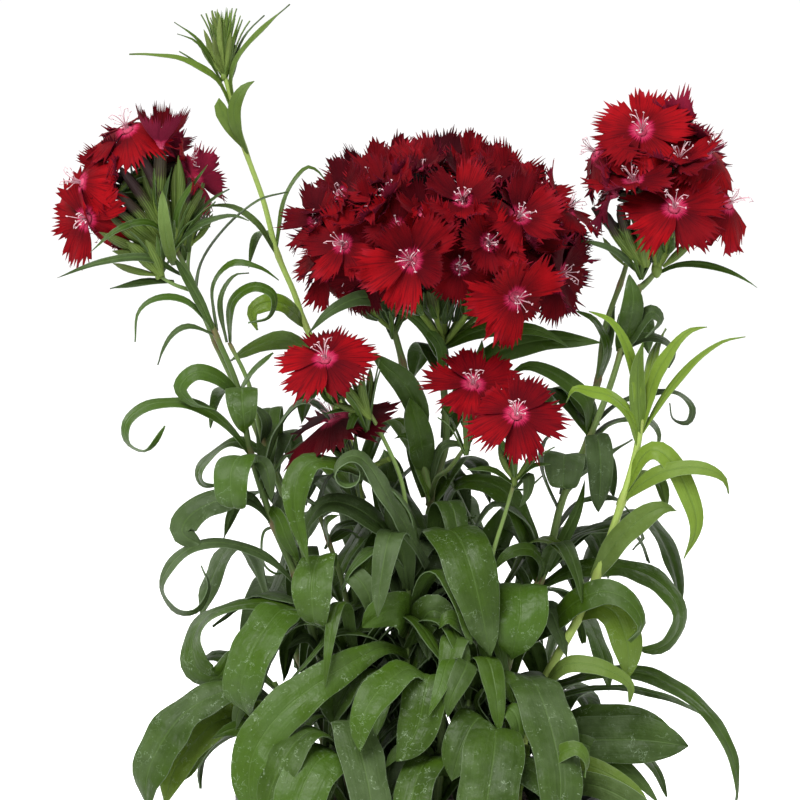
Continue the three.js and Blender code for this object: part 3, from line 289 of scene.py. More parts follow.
class Piece:
    """Gathers bent stocks into one object of the visual model.

    Each point carries two colours for the finishes to read: "place" says where it lies on its own
    shape, and "look" what that shape is like.
    """

    def __init__(self, name: str, finishes: Sequence[bpy.types.Material]) -> None:
        """Opens an empty piece.

        Args:
            name: the object's name.
            finishes: its materials, in the order of its part numbers.
        """
        self.name = name
        self.finishes = finishes
        self.bm = bmesh.new()
        self.points: list[np.ndarray] = []
        self.places: list[np.ndarray] = []
        self.looks: list[np.ndarray] = []
        self.marks: list[np.ndarray] = []

    def add(
        self, stock: Stock, points: np.ndarray, place: np.ndarray | Sequence[float], look: Sequence[float],
        part: IntEnum,
    ) -> None:
        """Adds one bent stock.

        Args:
            stock: the mesh it is bent from.
            points: its points in millimetres.
            place: four numbers for each point, or for all of them.
            look: four numbers for the whole shape.
            part: which of the piece's finishes it takes.
        """
        self.bm.from_mesh(stock.mesh)
        self.points.append(points)
        for rows, values in ((self.places, place), (self.looks, look)):
            rows.append(np.broadcast_to(np.array(values, float), (len(points), 4)))
        self.marks.append(np.full(stock.faces, int(part)))

    def close(self, slot: Slot, nodes: Sequence[str]) -> bpy.types.Object:
        """Turns what was gathered to an object that rides on the plant.

        Args:
            slot: the record's slot for the piece's finish; not used.
            nodes: the solids that it stands for.

        Returns:
            The object.
        """
        mesh = baked(self.bm, self.name)
        mesh.vertices.foreach_set("co", (np.concatenate(self.points) * MM).ravel())
        outward = opened(mesh)
        bmesh.ops.recalc_face_normals(outward, faces=outward.faces[:])
        outward.to_mesh(mesh)
        outward.free()
        for name, rows in (("place", self.places), ("look", self.looks)):
            layer = mesh.attributes.new(name, "FLOAT_COLOR", "POINT")
            layer.data.foreach_set("color", np.concatenate(rows).astype(np.float32).ravel())
        mesh.polygons.foreach_set("material_index", np.concatenate(self.marks).astype(np.int32))
        for finish in self.finishes:
            mesh.materials.append(finish)
        mesh.update()
        return settle(mesh, self.name, nodes)


def settle(mesh: bpy.types.Mesh, name: str, nodes: Sequence[str]) -> bpy.types.Object:
    """Puts a finished mesh in the scene as a piece of the plant.

    Args:
        mesh: the mesh, in metres.
        name: the object's name.
        nodes: the solids that it stands for.

    Returns:
        The object, riding on the plant's one body.
    """
    piece = in_scene(name, mesh)
    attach(piece, "root")
    if nodes:
        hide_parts(*nodes)
    LOG.info("%s: %d triangles", name, sum(len(face.vertices) - 2 for face in mesh.polygons))
    return piece


# ---------------------------------------------------------------- finishes


class Value:
    """An output among a material's nodes, which is worked with like a number."""

    def __init__(self, recipe: "Recipe", socket: bpy.types.NodeSocket) -> None:
        """Wraps a node's output."""
        self.recipe, self.socket = recipe, socket

    def __add__(self, other: object) -> "Value":
        """Their sum."""
        return self.recipe.math("ADD", self, other)

    def __sub__(self, other: object) -> "Value":
        """Their difference."""
        return self.recipe.math("SUBTRACT", self, other)

    def __rsub__(self, other: object) -> "Value":
        """What is left of the other."""
        return self.recipe.math("SUBTRACT", other, self)

    def __mul__(self, other: object) -> "Value":
        """Their product."""
        return self.recipe.math("MULTIPLY", self, other)

    def __abs__(self) -> "Value":
        """The distance from 0."""
        return self.recipe.math("ABSOLUTE", self)


class Recipe:
    """Lays out the nodes of one material round its Principled shader."""

    def __init__(self, name: str) -> None:
        """Starts a material of the given name."""
        self.material = bpy.data.materials.new(name)
        self.material.use_nodes = True
        self.nodes = self.material.node_tree.nodes
        self.links = self.material.node_tree.links
        self.shader = next(node for node in self.nodes if node.type == "BSDF_PRINCIPLED")

    def feed(self, socket: bpy.types.NodeSocket, value: object) -> None:
        """Gives a socket a number, a colour or another node's output."""
        if isinstance(value, Value):
            self.links.new(value.socket, socket)
        elif isinstance(value, tuple) and socket.type == "RGBA":
            socket.default_value = (*value[:3], 1.0)
        else:
            socket.default_value = value

    def node(self, kind: str, *values: object, output: int | str = 0, **settings: object) -> Value:
        """Adds a node.

        Args:
            kind: the node's type, without "ShaderNode".
            values: what its first sockets are given.
            output: which of its outputs is wanted.
            settings: its own settings.

        Returns:
            The output.
        """
        node = self.nodes.new(f"ShaderNode{kind}")
        for name, setting in settings.items():
            setattr(node, name, setting)
        for socket, value in zip(node.inputs, values):
            self.feed(socket, value)
        return Value(self, node.outputs[output])

    def shade(self, **values: object) -> None:
        """Sets the shader's sockets; an underscore in a name stands for a space."""
        for name, value in values.items():
            self.feed(self.shader.inputs[name.replace("_", " ")], value)

    def math(self, operation: str, a: object, b: object = 0.0) -> Value:
        """Output of a Math node."""
        return self.node("Math", a, b, operation=operation)

    def span(self, value: Value, low: float, high: float, to_low: float = 0.0, to_high: float = 1.0) -> Value:
        """A value carried smoothly from one range to another, and held at its ends."""
        return self.node("MapRange", value, low, high, to_low, to_high, interpolation_type="SMOOTHSTEP")

    def coats(self, ground: object, *coats: tuple[object, object]) -> Value:
        """Lays coats of colour over a ground.

        Args:
            ground: the colour below.
            coats: share and colour of each coat, the lowest first.

        Returns:
            The colour that they make.
        """
        for share, colour in coats:
            node = self.nodes.new("ShaderNodeMix")
            node.data_type = "RGBA"
            for socket, value in (("Factor", share), (6, ground), (7, colour)):
                self.feed(node.inputs[socket], value)
            ground = Value(self, node.outputs[2])
        return ground

    def read(self, name: str) -> tuple[Value, ...]:
        """The four numbers of one of the piece's colours."""
        node = self.nodes.new("ShaderNodeAttribute")
        node.attribute_type, node.attribute_name = "GEOMETRY", name
        split = self.nodes.new("ShaderNodeSeparateXYZ")
        self.links.new(node.outputs["Vector"], split.inputs[0])
        return tuple(Value(self, socket) for socket in (*split.outputs, node.outputs["Alpha"]))

    def vector(self, x: object, y: object, z: object) -> Value:
        """A vector put together from three values."""
        return self.node("CombineXYZ", x, y, z)

    def speckle(
        self, scale: float, detail: float = 2.0, course: Value | None = None, rough: float = 0.5
    ) -> Value:
        """A noise pattern, on the piece's own coordinates unless a course is given."""
        node = self.nodes.new("ShaderNodeTexNoise")
        self.feed(node.inputs["Vector"], course or self.node("TexCoord", output="Object"))
        for name, value in (("Scale", scale), ("Detail", detail), ("Roughness", rough)):
            self.feed(node.inputs[name], value)
        return Value(self, node.outputs[0])

    def bump(self, height: Value, strength: float, depth_mm: float) -> None:
        """Gives the shader a relief."""
        node = self.nodes.new("ShaderNodeBump")
        for name, value in (("Strength", strength), ("Distance", depth_mm * MM), ("Height", height)):
            self.feed(node.inputs[name], value)
        self.shade(Normal=Value(self, node.outputs["Normal"]))


@dataclass(frozen=True)
class LeafFinish:
    """Satin green blade: sunk midrib, parallel veins, grey bloom, dried water marks, and a pale rim that is
    partly a painted edge highlight.

    place: across, along, under side, unused. look: tone, width in 20 mm, youth with painted light, unused.
    """

    name: str = "leaf"
    deep: Colour = (0.0080, 0.0180, 0.0010)
    fresh: Colour = (0.0235, 0.0480, 0.0030)
    lively: Colour = (0.0285, 0.0600, 0.0088)
    young_and_lit_green: Colour = (0.116, 0.180, 0.0170)
    bloom: Colour = (0.050, 0.074, 0.031)
    below: Colour = (0.034, 0.062, 0.0130)
    rib: Colour = (0.050, 0.088, 0.0190)
    mark_and_edge_highlight: Colour = (0.22, 0.28, 0.19)
    marks: float = 0.46

    def material(self) -> bpy.types.Material:
        """The finish as a material."""
        r = Recipe(self.name)
        across, along, under, _ = r.read("place")
        tone, width, youth, _ = r.read("look")
        half = width * 10.0
        from_rib = abs(across - 0.5) * 2.0 * half
        from_edge = half - from_rib
        cloud = r.speckle(95.0, 3.0)
        waxy = r.span(r.speckle(60.0, 3.0, rough=0.65), 0.42, 0.72) * 0.40
        waxy = waxy + r.span(tone, 0.10, 0.55, 0.34, 0.0)
        veins = r.speckle(1.0, 2.0, r.vector(from_rib * 1.1, along * 3.0, tone * 50.0))
        rib = 1.0 - r.span(from_rib, 0.10, 0.42)
        dried = self._marks(r, from_edge, width, under)
        colour = r.coats(
            self.deep,
            (r.span(cloud * 0.6 + tone * 0.7, 0.25, 0.95), self.fresh),
            (waxy, self.bloom),
            (r.span(tone, 0.60, 1.0) * r.span(cloud, 0.35, 0.6, 0.3, 1.0) * 0.45, self.lively),
            (r.span(veins, 0.48, 0.70, 0.0, 0.07), self.rib),
            (r.span(veins, 0.30, 0.46, 0.10, 0.0), self.deep),
            # young yellow-green, partly real young growth and partly painted light: a backlit glow and thin
            # blades brightened against shade
            (youth, self.young_and_lit_green),
            (under * 0.55, self.below),
            (rib * 0.30, self.rib),
            # pale rim along the blade's edge: partly a whitish margin, partly a painted edge highlight
            (r.span(from_edge, 0.02, 0.18, 0.18, 0.0), self.mark_and_edge_highlight),
            (dried, self.mark_and_edge_highlight),
        )
        height = veins * 1.1 + r.speckle(1400.0) * 0.7 - rib * 0.9 + r.speckle(190.0) * 6.0
        r.bump(height, 0.50, 0.28)
        r.shade(Base_Color=colour, Roughness=waxy * 0.35 + dried * 0.3 + 0.36, Specular_IOR_Level=0.09)
        return r.material

    def _marks(self, r: Recipe, from_edge: Value, width: Value, under: Value) -> Value:
        """Share of dried water marks: broken hair lines and dots, denser towards the blade's edges.

        Args:
            r: the recipe.
            from_edge: distance from the blade's edge in millimetres.
            width: the blade's width in 20 mm.
            under: 1 on its under side.

        Returns:
            The share, from 0 to 1.
        """
        ring = abs(r.speckle(210.0, 4.0, rough=0.6) - 0.5)
        line = r.span(ring, 0.001, 0.008, 1.0, 0.0) * r.span(r.speckle(170.0), 0.50, 0.62)
        dots = r.span(r.speckle(1100.0, 1.0), 0.69, 0.75) * r.span(from_edge, 0.3, 3.0, 1.0, 0.25)
        return r.math("MAXIMUM", line, dots) * r.span(width, 0.3, 0.6) * (self.marks - under * self.marks)


@dataclass(frozen=True)
class StalkFinish:
    """Green stalk with a waxy bloom, blushed pink and brown at its knots.

    place: round, along, unused, closeness of a knot. look: tone, unused, blush, youth with painted light.
    """

    name: str = "stalk"
    deep: Colour = (0.036, 0.064, 0.014)
    pale: Colour = (0.100, 0.158, 0.042)
    bright: Colour = (0.185, 0.250, 0.055)
    knot: Colour = (0.105, 0.042, 0.030)
    plum: Colour = (0.040, 0.016, 0.013)

    def material(self) -> bpy.types.Material:
        """The finish as a material."""
        r = Recipe(self.name)
        round_, along, _, knot = r.read("place")
        tone, _, blush, youth = r.read("look")
        streak = r.speckle(1.0, 2.0, r.vector(round_ * 9.0, along * 14.0, tone))
        flush = knot * r.span(streak, 0.35, 0.65, 0.25, 0.85) * (1.0 - youth * 0.7)
        colour = r.coats(
            self.deep,
            (r.span(streak * 0.6 + tone * 0.5, 0.2, 0.8), self.pale),
            (youth, self.bright),
            (blush * r.span(streak, 0.35, 0.65), self.plum),
            (flush, self.knot),
        )
        r.bump(streak, 0.2, 0.25)
        r.shade(Base_Color=colour, Roughness=0.52, Specular_IOR_Level=0.15)
        return r.material


@dataclass(frozen=True)
class CalyxFinish:
    """Ribbed calyx or bud, green at its foot and dark plum towards its mouth.

    place: round, along, unused, unused. look: tone, unused, plum, youth with painted light.
    """

    name: str = "calyx"
    foot: Colour = (0.085, 0.125, 0.020)
    green: Colour = (0.040, 0.066, 0.010)
    plum: Colour = (0.0150, 0.0042, 0.0078)
    bright: Colour = (0.150, 0.210, 0.048)
    rib_pitch: float = 47.0

    def material(self) -> bpy.types.Material:
        """The finish as a material."""
        r = Recipe(self.name)
        round_, along, _, _ = r.read("place")
        tone, _, plum, youth = r.read("look")
        ribs, cloud = r.math("SINE", round_ * self.rib_pitch), r.speckle(260.0)
        edge = along + (cloud - 0.5) * 0.6 - ribs * 0.07
        colour = r.coats(
            self.foot,
            (r.span(along, 0.1, 0.45), self.green),
            (r.span(ribs, 0.0, 0.9, 0.0, 0.42), self.bright),
            (youth * 0.8, self.bright),
            (tone * 0.35, self.green),
            (plum * r.span(edge, 0.46, 0.74), self.plum),
        )
        r.bump(ribs + cloud * 0.8, 0.3, 0.15)
        r.shade(Base_Color=colour, Roughness=0.52, Specular_IOR_Level=0.12)
        return r.material


@dataclass(frozen=True)
class PetalFinish:
    """Velvety crimson petal: dark radial veins, a hot pink eye, and a duller rose reverse; shade is painted
    towards the eye and on shadowed petals, and light is painted at some tips.

    place: across, share of the radius, under side, unused. look: tone, painted shade, petal's own number,
    unused.
    """

    name: str = "petal"
    crimson: Colour = (0.096, 0.0008, 0.0026)
    scarlet: Colour = (0.160, 0.0011, 0.0028)
    dark: Colour = (0.017, 0.0005, 0.0020)
    reverse: Colour = (0.118, 0.0072, 0.0230)
    rose: Colour = (0.240, 0.0130, 0.0260)
    eye: Colour = (0.270, 0.0075, 0.0420)
    streak: Colour = (0.460, 0.1300, 0.1900)

    def material(self) -> bpy.types.Material:
        """The finish as a material."""
        r = Recipe(self.name)
        across, reach, under, _ = r.read("place")
        tone, painted_shade, own, _ = r.read("look")
        rays = r.speckle(1.0, 2.0, r.vector(across * 30.0, reach * 2.2, own * 7.0))
        fine = r.speckle(1.0, 1.0, r.vector(across * 85.0, reach * 3.0, own * 9.0))
        cloud = r.speckle(130.0)
        veins = r.math("MAXIMUM", r.span(rays, 0.46, 0.68, 0.0, 0.55), r.span(fine, 0.55, 0.75, 0.0, 0.35))
        near = reach + (rays - 0.5) * 0.22
        colour = r.coats(
            self.crimson,
            (r.span(cloud + tone * 0.5, 0.4, 1.0), self.scarlet),
            (veins, self.dark),
            # painted shade: darker on the inner half, towards the eye
            (r.span(reach, 0.30, 0.62, 0.45, 0.0), self.dark),
            (r.span(reach, 0.82, 1.0, 0.0, 0.20), self.dark),
            # painted light: pale rose patches near the tips, as light shining through the thin petals
            (r.span(reach, 0.62, 1.0, 0.0, 0.40) * r.span(cloud, 0.50, 0.66), self.rose),
            # painted shade of the floret and of its shadowed petals
            (painted_shade, self.dark),
            (under * 0.72, self.reverse),
            (r.span(near, 0.15, 0.26, 0.92, 0.0), self.eye),
            (r.span(near, 0.08, 0.20, 0.60, 0.0) * r.span(fine, 0.42, 0.6), self.streak),
        )
        r.bump(rays * 1.4 + fine, 0.4, 0.3)
        r.shade(Base_Color=colour, Roughness=0.70, Specular_IOR_Level=0.03)
        r.shade(Sheen_Weight=0.03, Sheen_Roughness=0.35, Sheen_Tint=(1.0, 0.18, 0.24))
        return r.material


@dataclass(frozen=True)
class ThreadFinish:
    """Blush-white styles and stamens. place: round, along. look: tone, unused, 1 for an anther."""

    name: str = "thread"
    white: Colour = (0.40, 0.27, 0.29)
    pink: Colour = (0.26, 0.07, 0.11)
    anther: Colour = (0.38, 0.26, 0.28)

    def material(self) -> bpy.types.Material:
        """The finish as a material."""
        r = Recipe(self.name)
        along, (tone, _, anther, _) = r.read("place")[1], r.read("look")
        colour = r.coats(
            self.pink, (r.span(along, 0.0, 0.7), self.white), (tone * 0.4, self.pink), (anther, self.anther)
        )
        r.bump(r.speckle(2500.0), 0.3, 0.1)
        r.shade(Base_Color=colour, Roughness=0.5)
        return r.material


@dataclass(frozen=True)
class HeartFinish:
    """Heart of a head painted near black as shade, standing for petal feet and calyx tips pressed together.
    """

    name: str = "heart"
    dark: Colour = (0.006, 0.0010, 0.0020)
    lit: Colour = (0.040, 0.0012, 0.0030)

    def material(self) -> bpy.types.Material:
        """The finish as a material."""
        r = Recipe(self.name)
        cloud = r.speckle(420.0, 3.0)
        r.bump(cloud, 0.8, 1.2)
        # painted shade: the whole heart is near black, with slightly lighter patches
        colour = r.coats(self.dark, (r.span(cloud, 0.4, 0.7), self.lit))
        r.shade(Base_Color=colour, Roughness=0.85, Specular_IOR_Level=0.1)
        return r.material


@dataclass(frozen=True)
class PotFinish:
    """Smooth black moulded plastic with faint scuffs and flow marks."""

    name: str = "pot_plastic"
    black: Colour = (0.0032, 0.0032, 0.0036)
    worn: Colour = (0.016, 0.016, 0.017)

    def material(self) -> bpy.types.Material:
        """The finish as a material."""
        r = Recipe(self.name)
        cloud, scuff = r.speckle(34.0, 4.0), r.speckle(620.0, 3.0, rough=0.7)
        worn = r.span(cloud, 0.5, 0.75) * r.span(scuff, 0.45, 0.75)
        r.bump(scuff, 0.08, 0.1)
        colour = r.coats(self.black, (worn, self.worn))
        r.shade(Base_Color=colour, Roughness=cloud * 0.16 + worn * 0.25 + 0.42, Specular_IOR_Level=0.08)
        return r.material


@dataclass(frozen=True)
class SoilFinish:
    """Dark moist potting mix, with lighter fibres and grit."""

    name: str = "potting_soil"
    wet: Colour = (0.010, 0.0065, 0.0045)
    dry: Colour = (0.060, 0.038, 0.024)
    fibre: Colour = (0.160, 0.105, 0.060)

    def material(self) -> bpy.types.Material:
        """The finish as a material."""
        r = Recipe(self.name)
        grit = r.speckle(780.0, 4.0, rough=0.7) + r.speckle(150.0, 3.0)
        fibres = r.span(r.speckle(1500.0, 1.0), 0.66, 0.74, 0.0, 0.7)
        r.bump(grit, 0.9, 1.0)
        colour = r.coats(self.wet, (r.span(grit, 0.75, 1.25), self.dry), (fibres, self.fibre))
        r.shade(Base_Color=colour, Roughness=0.93, Specular_IOR_Level=0.2)
        return r.material


# ---------------------------------------------------------------- green shapes


@dataclass
class Growth:
    """What a shape needs to join its piece."""

    piece: Piece  # the piece it joins
    dice: random.Random  # seeded chance
    youth: float = 0.0  # 1 for bright young growth; partly painted light
    blush: float = 0.0  # how plum-coloured the stalks are

    TEETH = 5  # how many teeth the mouth of a tube may have

    def around(self, middle: float, spread: float) -> float:
        """A chance value within spread of the middle."""
        return middle + spread * (2 * self.dice.random() - 1)

    def tone(self) -> float:
        """A chance shade for one shape."""
        return self.dice.random()

    def tube(
        self, line: Spline, sides: int, radius: np.ndarray, look: Sequence[float], part: IntEnum,
        along: np.ndarray | None = None, knot: np.ndarray | None = None, teeth: np.ndarray | None = None,
    ) -> None:
        """Adds a tube that is bent along a curve.

        Args:
            line: the curve.
            sides: how many sides it has.
            radius: its radius at each ring.
            look: four numbers for the whole tube.
            part: which of the piece's finishes it takes.
            along: share along it at each ring, where that isn't the ring's own.
            knot: closeness of a knot at each ring.
            teeth: how far the teeth at its end stand out, as a vector.
        """
        share = np.linspace(0, 1, len(radius))
        stock, (_, across, rises) = tube(sides, len(radius) - 1), line.frames(share)
        (x, y), ring = stock.grid.T[:2], np.rint(stock.grid[:, 2] * (len(radius) - 1)).astype(int)
        swing = x[:, None] * across[ring] + y[:, None] * rises[ring]
        points, angle = line.places(share)[ring] + radius[ring, None] * swing, np.arctan2(y, x)
        if teeth is not None:
            stand = np.where(ring == ring.max(), 1 + np.cos(self.TEETH * angle), 0.0)
            points = points + stand[:, None] * teeth
        own = (share if along is None else along)[ring], 0 * angle, 0 * angle if knot is None else knot[ring]
        self.piece.add(stock, points, np.stack([np.abs(angle) / np.pi, *own], axis=1), look, part)


@dataclass(frozen=True)
class Stalk:
    """A tapered stalk that swells at its knots."""

    foot: float  # radius at the foot
    top: float  # radius at the top
    points: tuple[Point, ...]  # its course; a fourth number 1 marks a knot

    SIDES = 10
    RING_STEP, MOST_RINGS = 2.0, 110  # millimetres between its rings, and how many it has at most
    TAPER = (0.86, 0.14)  # share of the planned radius at its foot, and what is lost of it by its top
    SWELL, ABOVE_KNOT, BELOW_KNOT = 0.24, 1.5, 2.6  # how far a knot swells, and its reach each way
    TIP = 0.8  # how far its last ring is drawn in

    def grow(self, growth: Growth) -> None:
        """Adds the stalk to its piece."""
        line = Spline(self.points)
        rings = max(6, min(self.MOST_RINGS, round(line.length / self.RING_STEP)))
        share = np.linspace(0, 1, rings + 1)
        near = np.zeros(rings + 1)
        for number, point in enumerate(self.points):
            if len(point) > 3:
                knot = line.lengths[round(line.DIVISIONS * number / (len(self.points) - 1))] / line.length
                step = (share - knot) * line.length
                reach = np.where(step > 0, self.ABOVE_KNOT, self.BELOW_KNOT)
                near = np.maximum(near, np.exp(-((step / reach) ** 2)))
        full, loss = self.TAPER
        taper = (self.foot + (self.top - self.foot) * share) * (full - loss * share)
        radius = taper * (1 + self.SWELL * near)
        radius[-1] *= self.TIP
        look = (growth.tone(), 0.0, growth.blush, min(1.0, 1.6 * growth.youth))
        growth.tube(line, self.SIDES, radius, look, GreenPart.STALK, knot=near)


@dataclass(frozen=True)
class Leaf:
    """An arching blade with a sunk midrib, full shoulders and waved edges."""

    width: float  # full width
    face: float  # degrees by which its upper side is turned towards the front
    points: tuple[Point, ...]  # its midrib from root to tip
    roll: float = 0.1  # how far its tip rolls under, in radians
    twist: float = 0.0  # degrees by which it turns on along its length
    youth: float = 0.0  # 1 for bright young growth; partly painted light
    full: float = 1.0  # above 1 for a rounder tip, below 1 for a longer taper
    peak: float = 0.42  # share of the length at which it is widest

    BASE, LEAST = 0.40, 0.015  # width at its root and its tip, as shares of the full width
    PEAK = 0.42  # the usual peak
    ROW_STEP, ROWS_PER_TURN, MOST_ROWS = 2.5, 7.5, 48  # how its rows of points are counted
    SHOULDER, SWAY, WAVE = 0.036, 0.045, 0.038  # heights of its shoulders, bends and edge waves, in widths
    RIPPLE = 16.0  # pitch of its edge waves
    THICK, THINNING, MIDRIB = 0.62, 0.28, 0.75  # its thickness, the loss at its rims, and its midrib's share
    LIT = (165.0, 210.0)  # painted light: heights between which the young green rises to its full brightness, dimmer lower down

    def _side(self) -> np.ndarray:
        """Direction square to the plane in which the midrib arches."""
        rows = np.array([point[:3] for point in self.points], float)
        legs = np.diff(rows, axis=0)
        return unit(np.cross(legs[:-1], legs[1:]).sum(axis=0))

    def _width(self, share: np.ndarray) -> np.ndarray:
        """Share of the full width at shares of the length."""
        base = self.BASE * min(1.0, self.PEAK / self.peak) ** 1.5
        swell = 1.6 if self.peak > 0.5 else 1.0
        rise = base + (1 - base) * np.sin(np.clip(share / self.peak, 0, 1) * np.pi / 2) ** swell
        blunt = self.full * (1.7 + 1.9 * float(smooth(3.0, 12.0, self.width)))
        fall = 1 - np.clip((share - self.peak) / (1 - self.peak), 0, 1) ** blunt
        return np.maximum(np.where(share < self.peak, rise, fall), self.LEAST)

    def _relief(self, line: Spline, share: np.ndarray, v: np.ndarray, growth: Growth) -> np.ndarray:
        """Height of the upper side over the plane of the midrib.

        Args:
            line: the midrib.
            share: share of the length at each point.
            v: place across each point, -1 to 1.
            growth: where it grows.

        Returns:
            Heights in millimetres.
        """
        width, span = self.width, np.abs(v)
        shoulder = self.SHOULDER * width * smooth(-0.1, 0.25, share) * (1 - 0.7 * smooth(0.8, 1.0, share))
        height = shoulder * (1 - (2 * span - 0.95) ** 2)
        steps = max(3, len(self.points) - 1, min(7, round(line.length / 12)))
        height = height - self.SWAY * width * v * np.sin(2.3 * share * steps + self.points[0][0])
        for sign in (-1, 1):
            phase, pitch = growth.dice.uniform(0, TURN), growth.around(self.RIPPLE, self.RIPPLE / 4)
            ripple = np.sin(2 * np.pi * share * line.length / pitch + phase)
            wave = self.WAVE * width * span**1.6 * ripple * smooth(0.05, 0.3, share)
            height = height + np.where(v * sign > 0, wave, 0)
        return height

    @staticmethod
    def _rolled(
        line: Spline, side: np.ndarray, roll: float, share: np.ndarray
    ) -> tuple[np.ndarray, np.ndarray]:
        """The midrib with its tip rolled under.

        Args:
            line: the midrib as planned.
            side: direction square to the plane in which it arches.
            roll: how far its tip turns on, in radians.
            share: shares of the length.

        Returns:
            Places and headings.
        """
        steps = 120
        fine = np.linspace(0, 1, steps + 1)
        headings = line.headings(fine)
        angle = (roll * smooth(0.62, 1.0, fine) ** 1.3)[:, None]
        turned = headings * np.cos(angle) + np.cross(side, headings) * np.sin(angle)
        turned = turned + side * (headings @ side)[:, None] * (1 - np.cos(angle))
        legs = (turned[1:] + turned[:-1]) / 2 * line.length / steps
        places = line.places(np.array([0.0])) + np.vstack([np.zeros(3), np.cumsum(legs, axis=0)])
        at, heading = (
            np.stack([np.interp(share, fine, row) for row in rows.T], axis=1) for rows in (places, turned)
        )
        return at, units(heading)

    def grow(self, growth: Growth) -> None:
        """Adds the leaf to its piece."""
        line, side = Spline(self.points), self._side()
        turned = float(np.linalg.norm(np.diff(line.headings(np.linspace(0, 1, 30)), axis=0), axis=1).sum())
        roll = growth.around(self.roll, 0.15)
        wanted = max(line.length / self.ROW_STEP, (turned + roll) * self.ROWS_PER_TURN)
        rows = max(6, min(self.MOST_ROWS, round(wanted)))
        stock = sheet(rows, 8 if self.width > 6 else 4)
        share = np.linspace(0, 1, rows + 1)
        midrib, headings = self._rolled(line, side, roll, share)
        turn = np.radians(self.face + self.twist * smooth(0.50, 0.80, share)) * (-1 if side[1] < -0.3 else 1)
        across = units(side - headings * (headings @ side)[:, None])
        spread = across * np.cos(turn)[:, None] + np.cross(headings, across) * np.sin(turn)[:, None]
        rise = np.cross(headings, spread)
        row = np.rint(stock.grid[:, 1] * rows).astype(int)
        v = np.sign(stock.grid[:, 0]) * np.abs(stock.grid[:, 0]) ** 1.3
        u, under = share[row], stock.grid[:, 2] > 0.5
        waver = 1 + 0.03 * np.sin(u * line.length / 3 + growth.dice.uniform(0, TURN))
        half = self.width / 2 * self._width(u) * waver
        height = self._relief(line, u, v, growth)
        thin = min(1.0, 0.45 + self.width / 20)
        rib = self.MIDRIB * np.exp(-((v / 0.16) ** 2)) * (1 - 0.75 * u)
        depth = thin * (self.THICK - self.THINNING * v**2 + rib)
        height = np.where(under, height - depth, height)
        points = midrib[row] + spread[row] * (half * v)[:, None] + rise[row] * height[:, None]
        place = np.stack([(v + 1) / 2, u, under.astype(float), 0 * u], axis=1)
        # painted light: the young green is brighter on leaves that spring higher up
        lit = 0.45 + 0.55 * float(smooth(*self.LIT, self.points[0][2]))
        youth = max((growth.youth if growth.youth > 0.5 else 0.3 * growth.youth) * lit, self.youth)
        youth = youth * growth.around(0.85, 0.15)
        look = (growth.tone(), self.width / 20, youth, 0.0)
        growth.piece.add(stock, points, place, look, GreenPart.LEAF)


@dataclass(frozen=True)
class Bud:
    """A slim pointed bud."""

    radius: float  # radius of its belly
    root: Point  # where it springs from
    tip: Point  # its point
    plum: float = 0.3  # how dark its tip is

    # radii along it, by shares of its length
    CLOSED = ((0.0, 0.12, 0.35, 0.70, 0.90, 1.0), (0.30, 0.50, 0.92, 1.0, 0.50, 0.05))
    OPEN = ((0.0, 0.10, 0.30, 0.65, 0.88, 1.0), (0.40, 0.70, 1.05, 1.05, 0.85, 0.30))
    SIDES, RINGS = 8, 8
    SWAY = 0.06  # how far its middle strays, as a share of its length
    FILL = 0.8  # share of the planned radius

    def grow(self, growth: Growth) -> None:
        """Adds the bud to its piece."""
        root, tip = np.array(self.root, float), np.array(self.tip, float)
        sway = self.SWAY * np.linalg.norm(tip - root) * unit([growth.around(0, 1) for _ in range(3)])
        line = Spline((tuple(root), tuple((root + tip) / 2 + sway), tuple(tip)))
        profile = self.OPEN if self.plum > 0.5 else self.CLOSED
        radius = self.FILL * self.radius * np.interp(np.linspace(0, 1, self.RINGS + 1), *profile)
        look = (growth.tone(), 0.0, self.plum, min(1.0, 1.6 * growth.youth))
        growth.tube(line, self.SIDES, radius, look, GreenPart.CALYX)


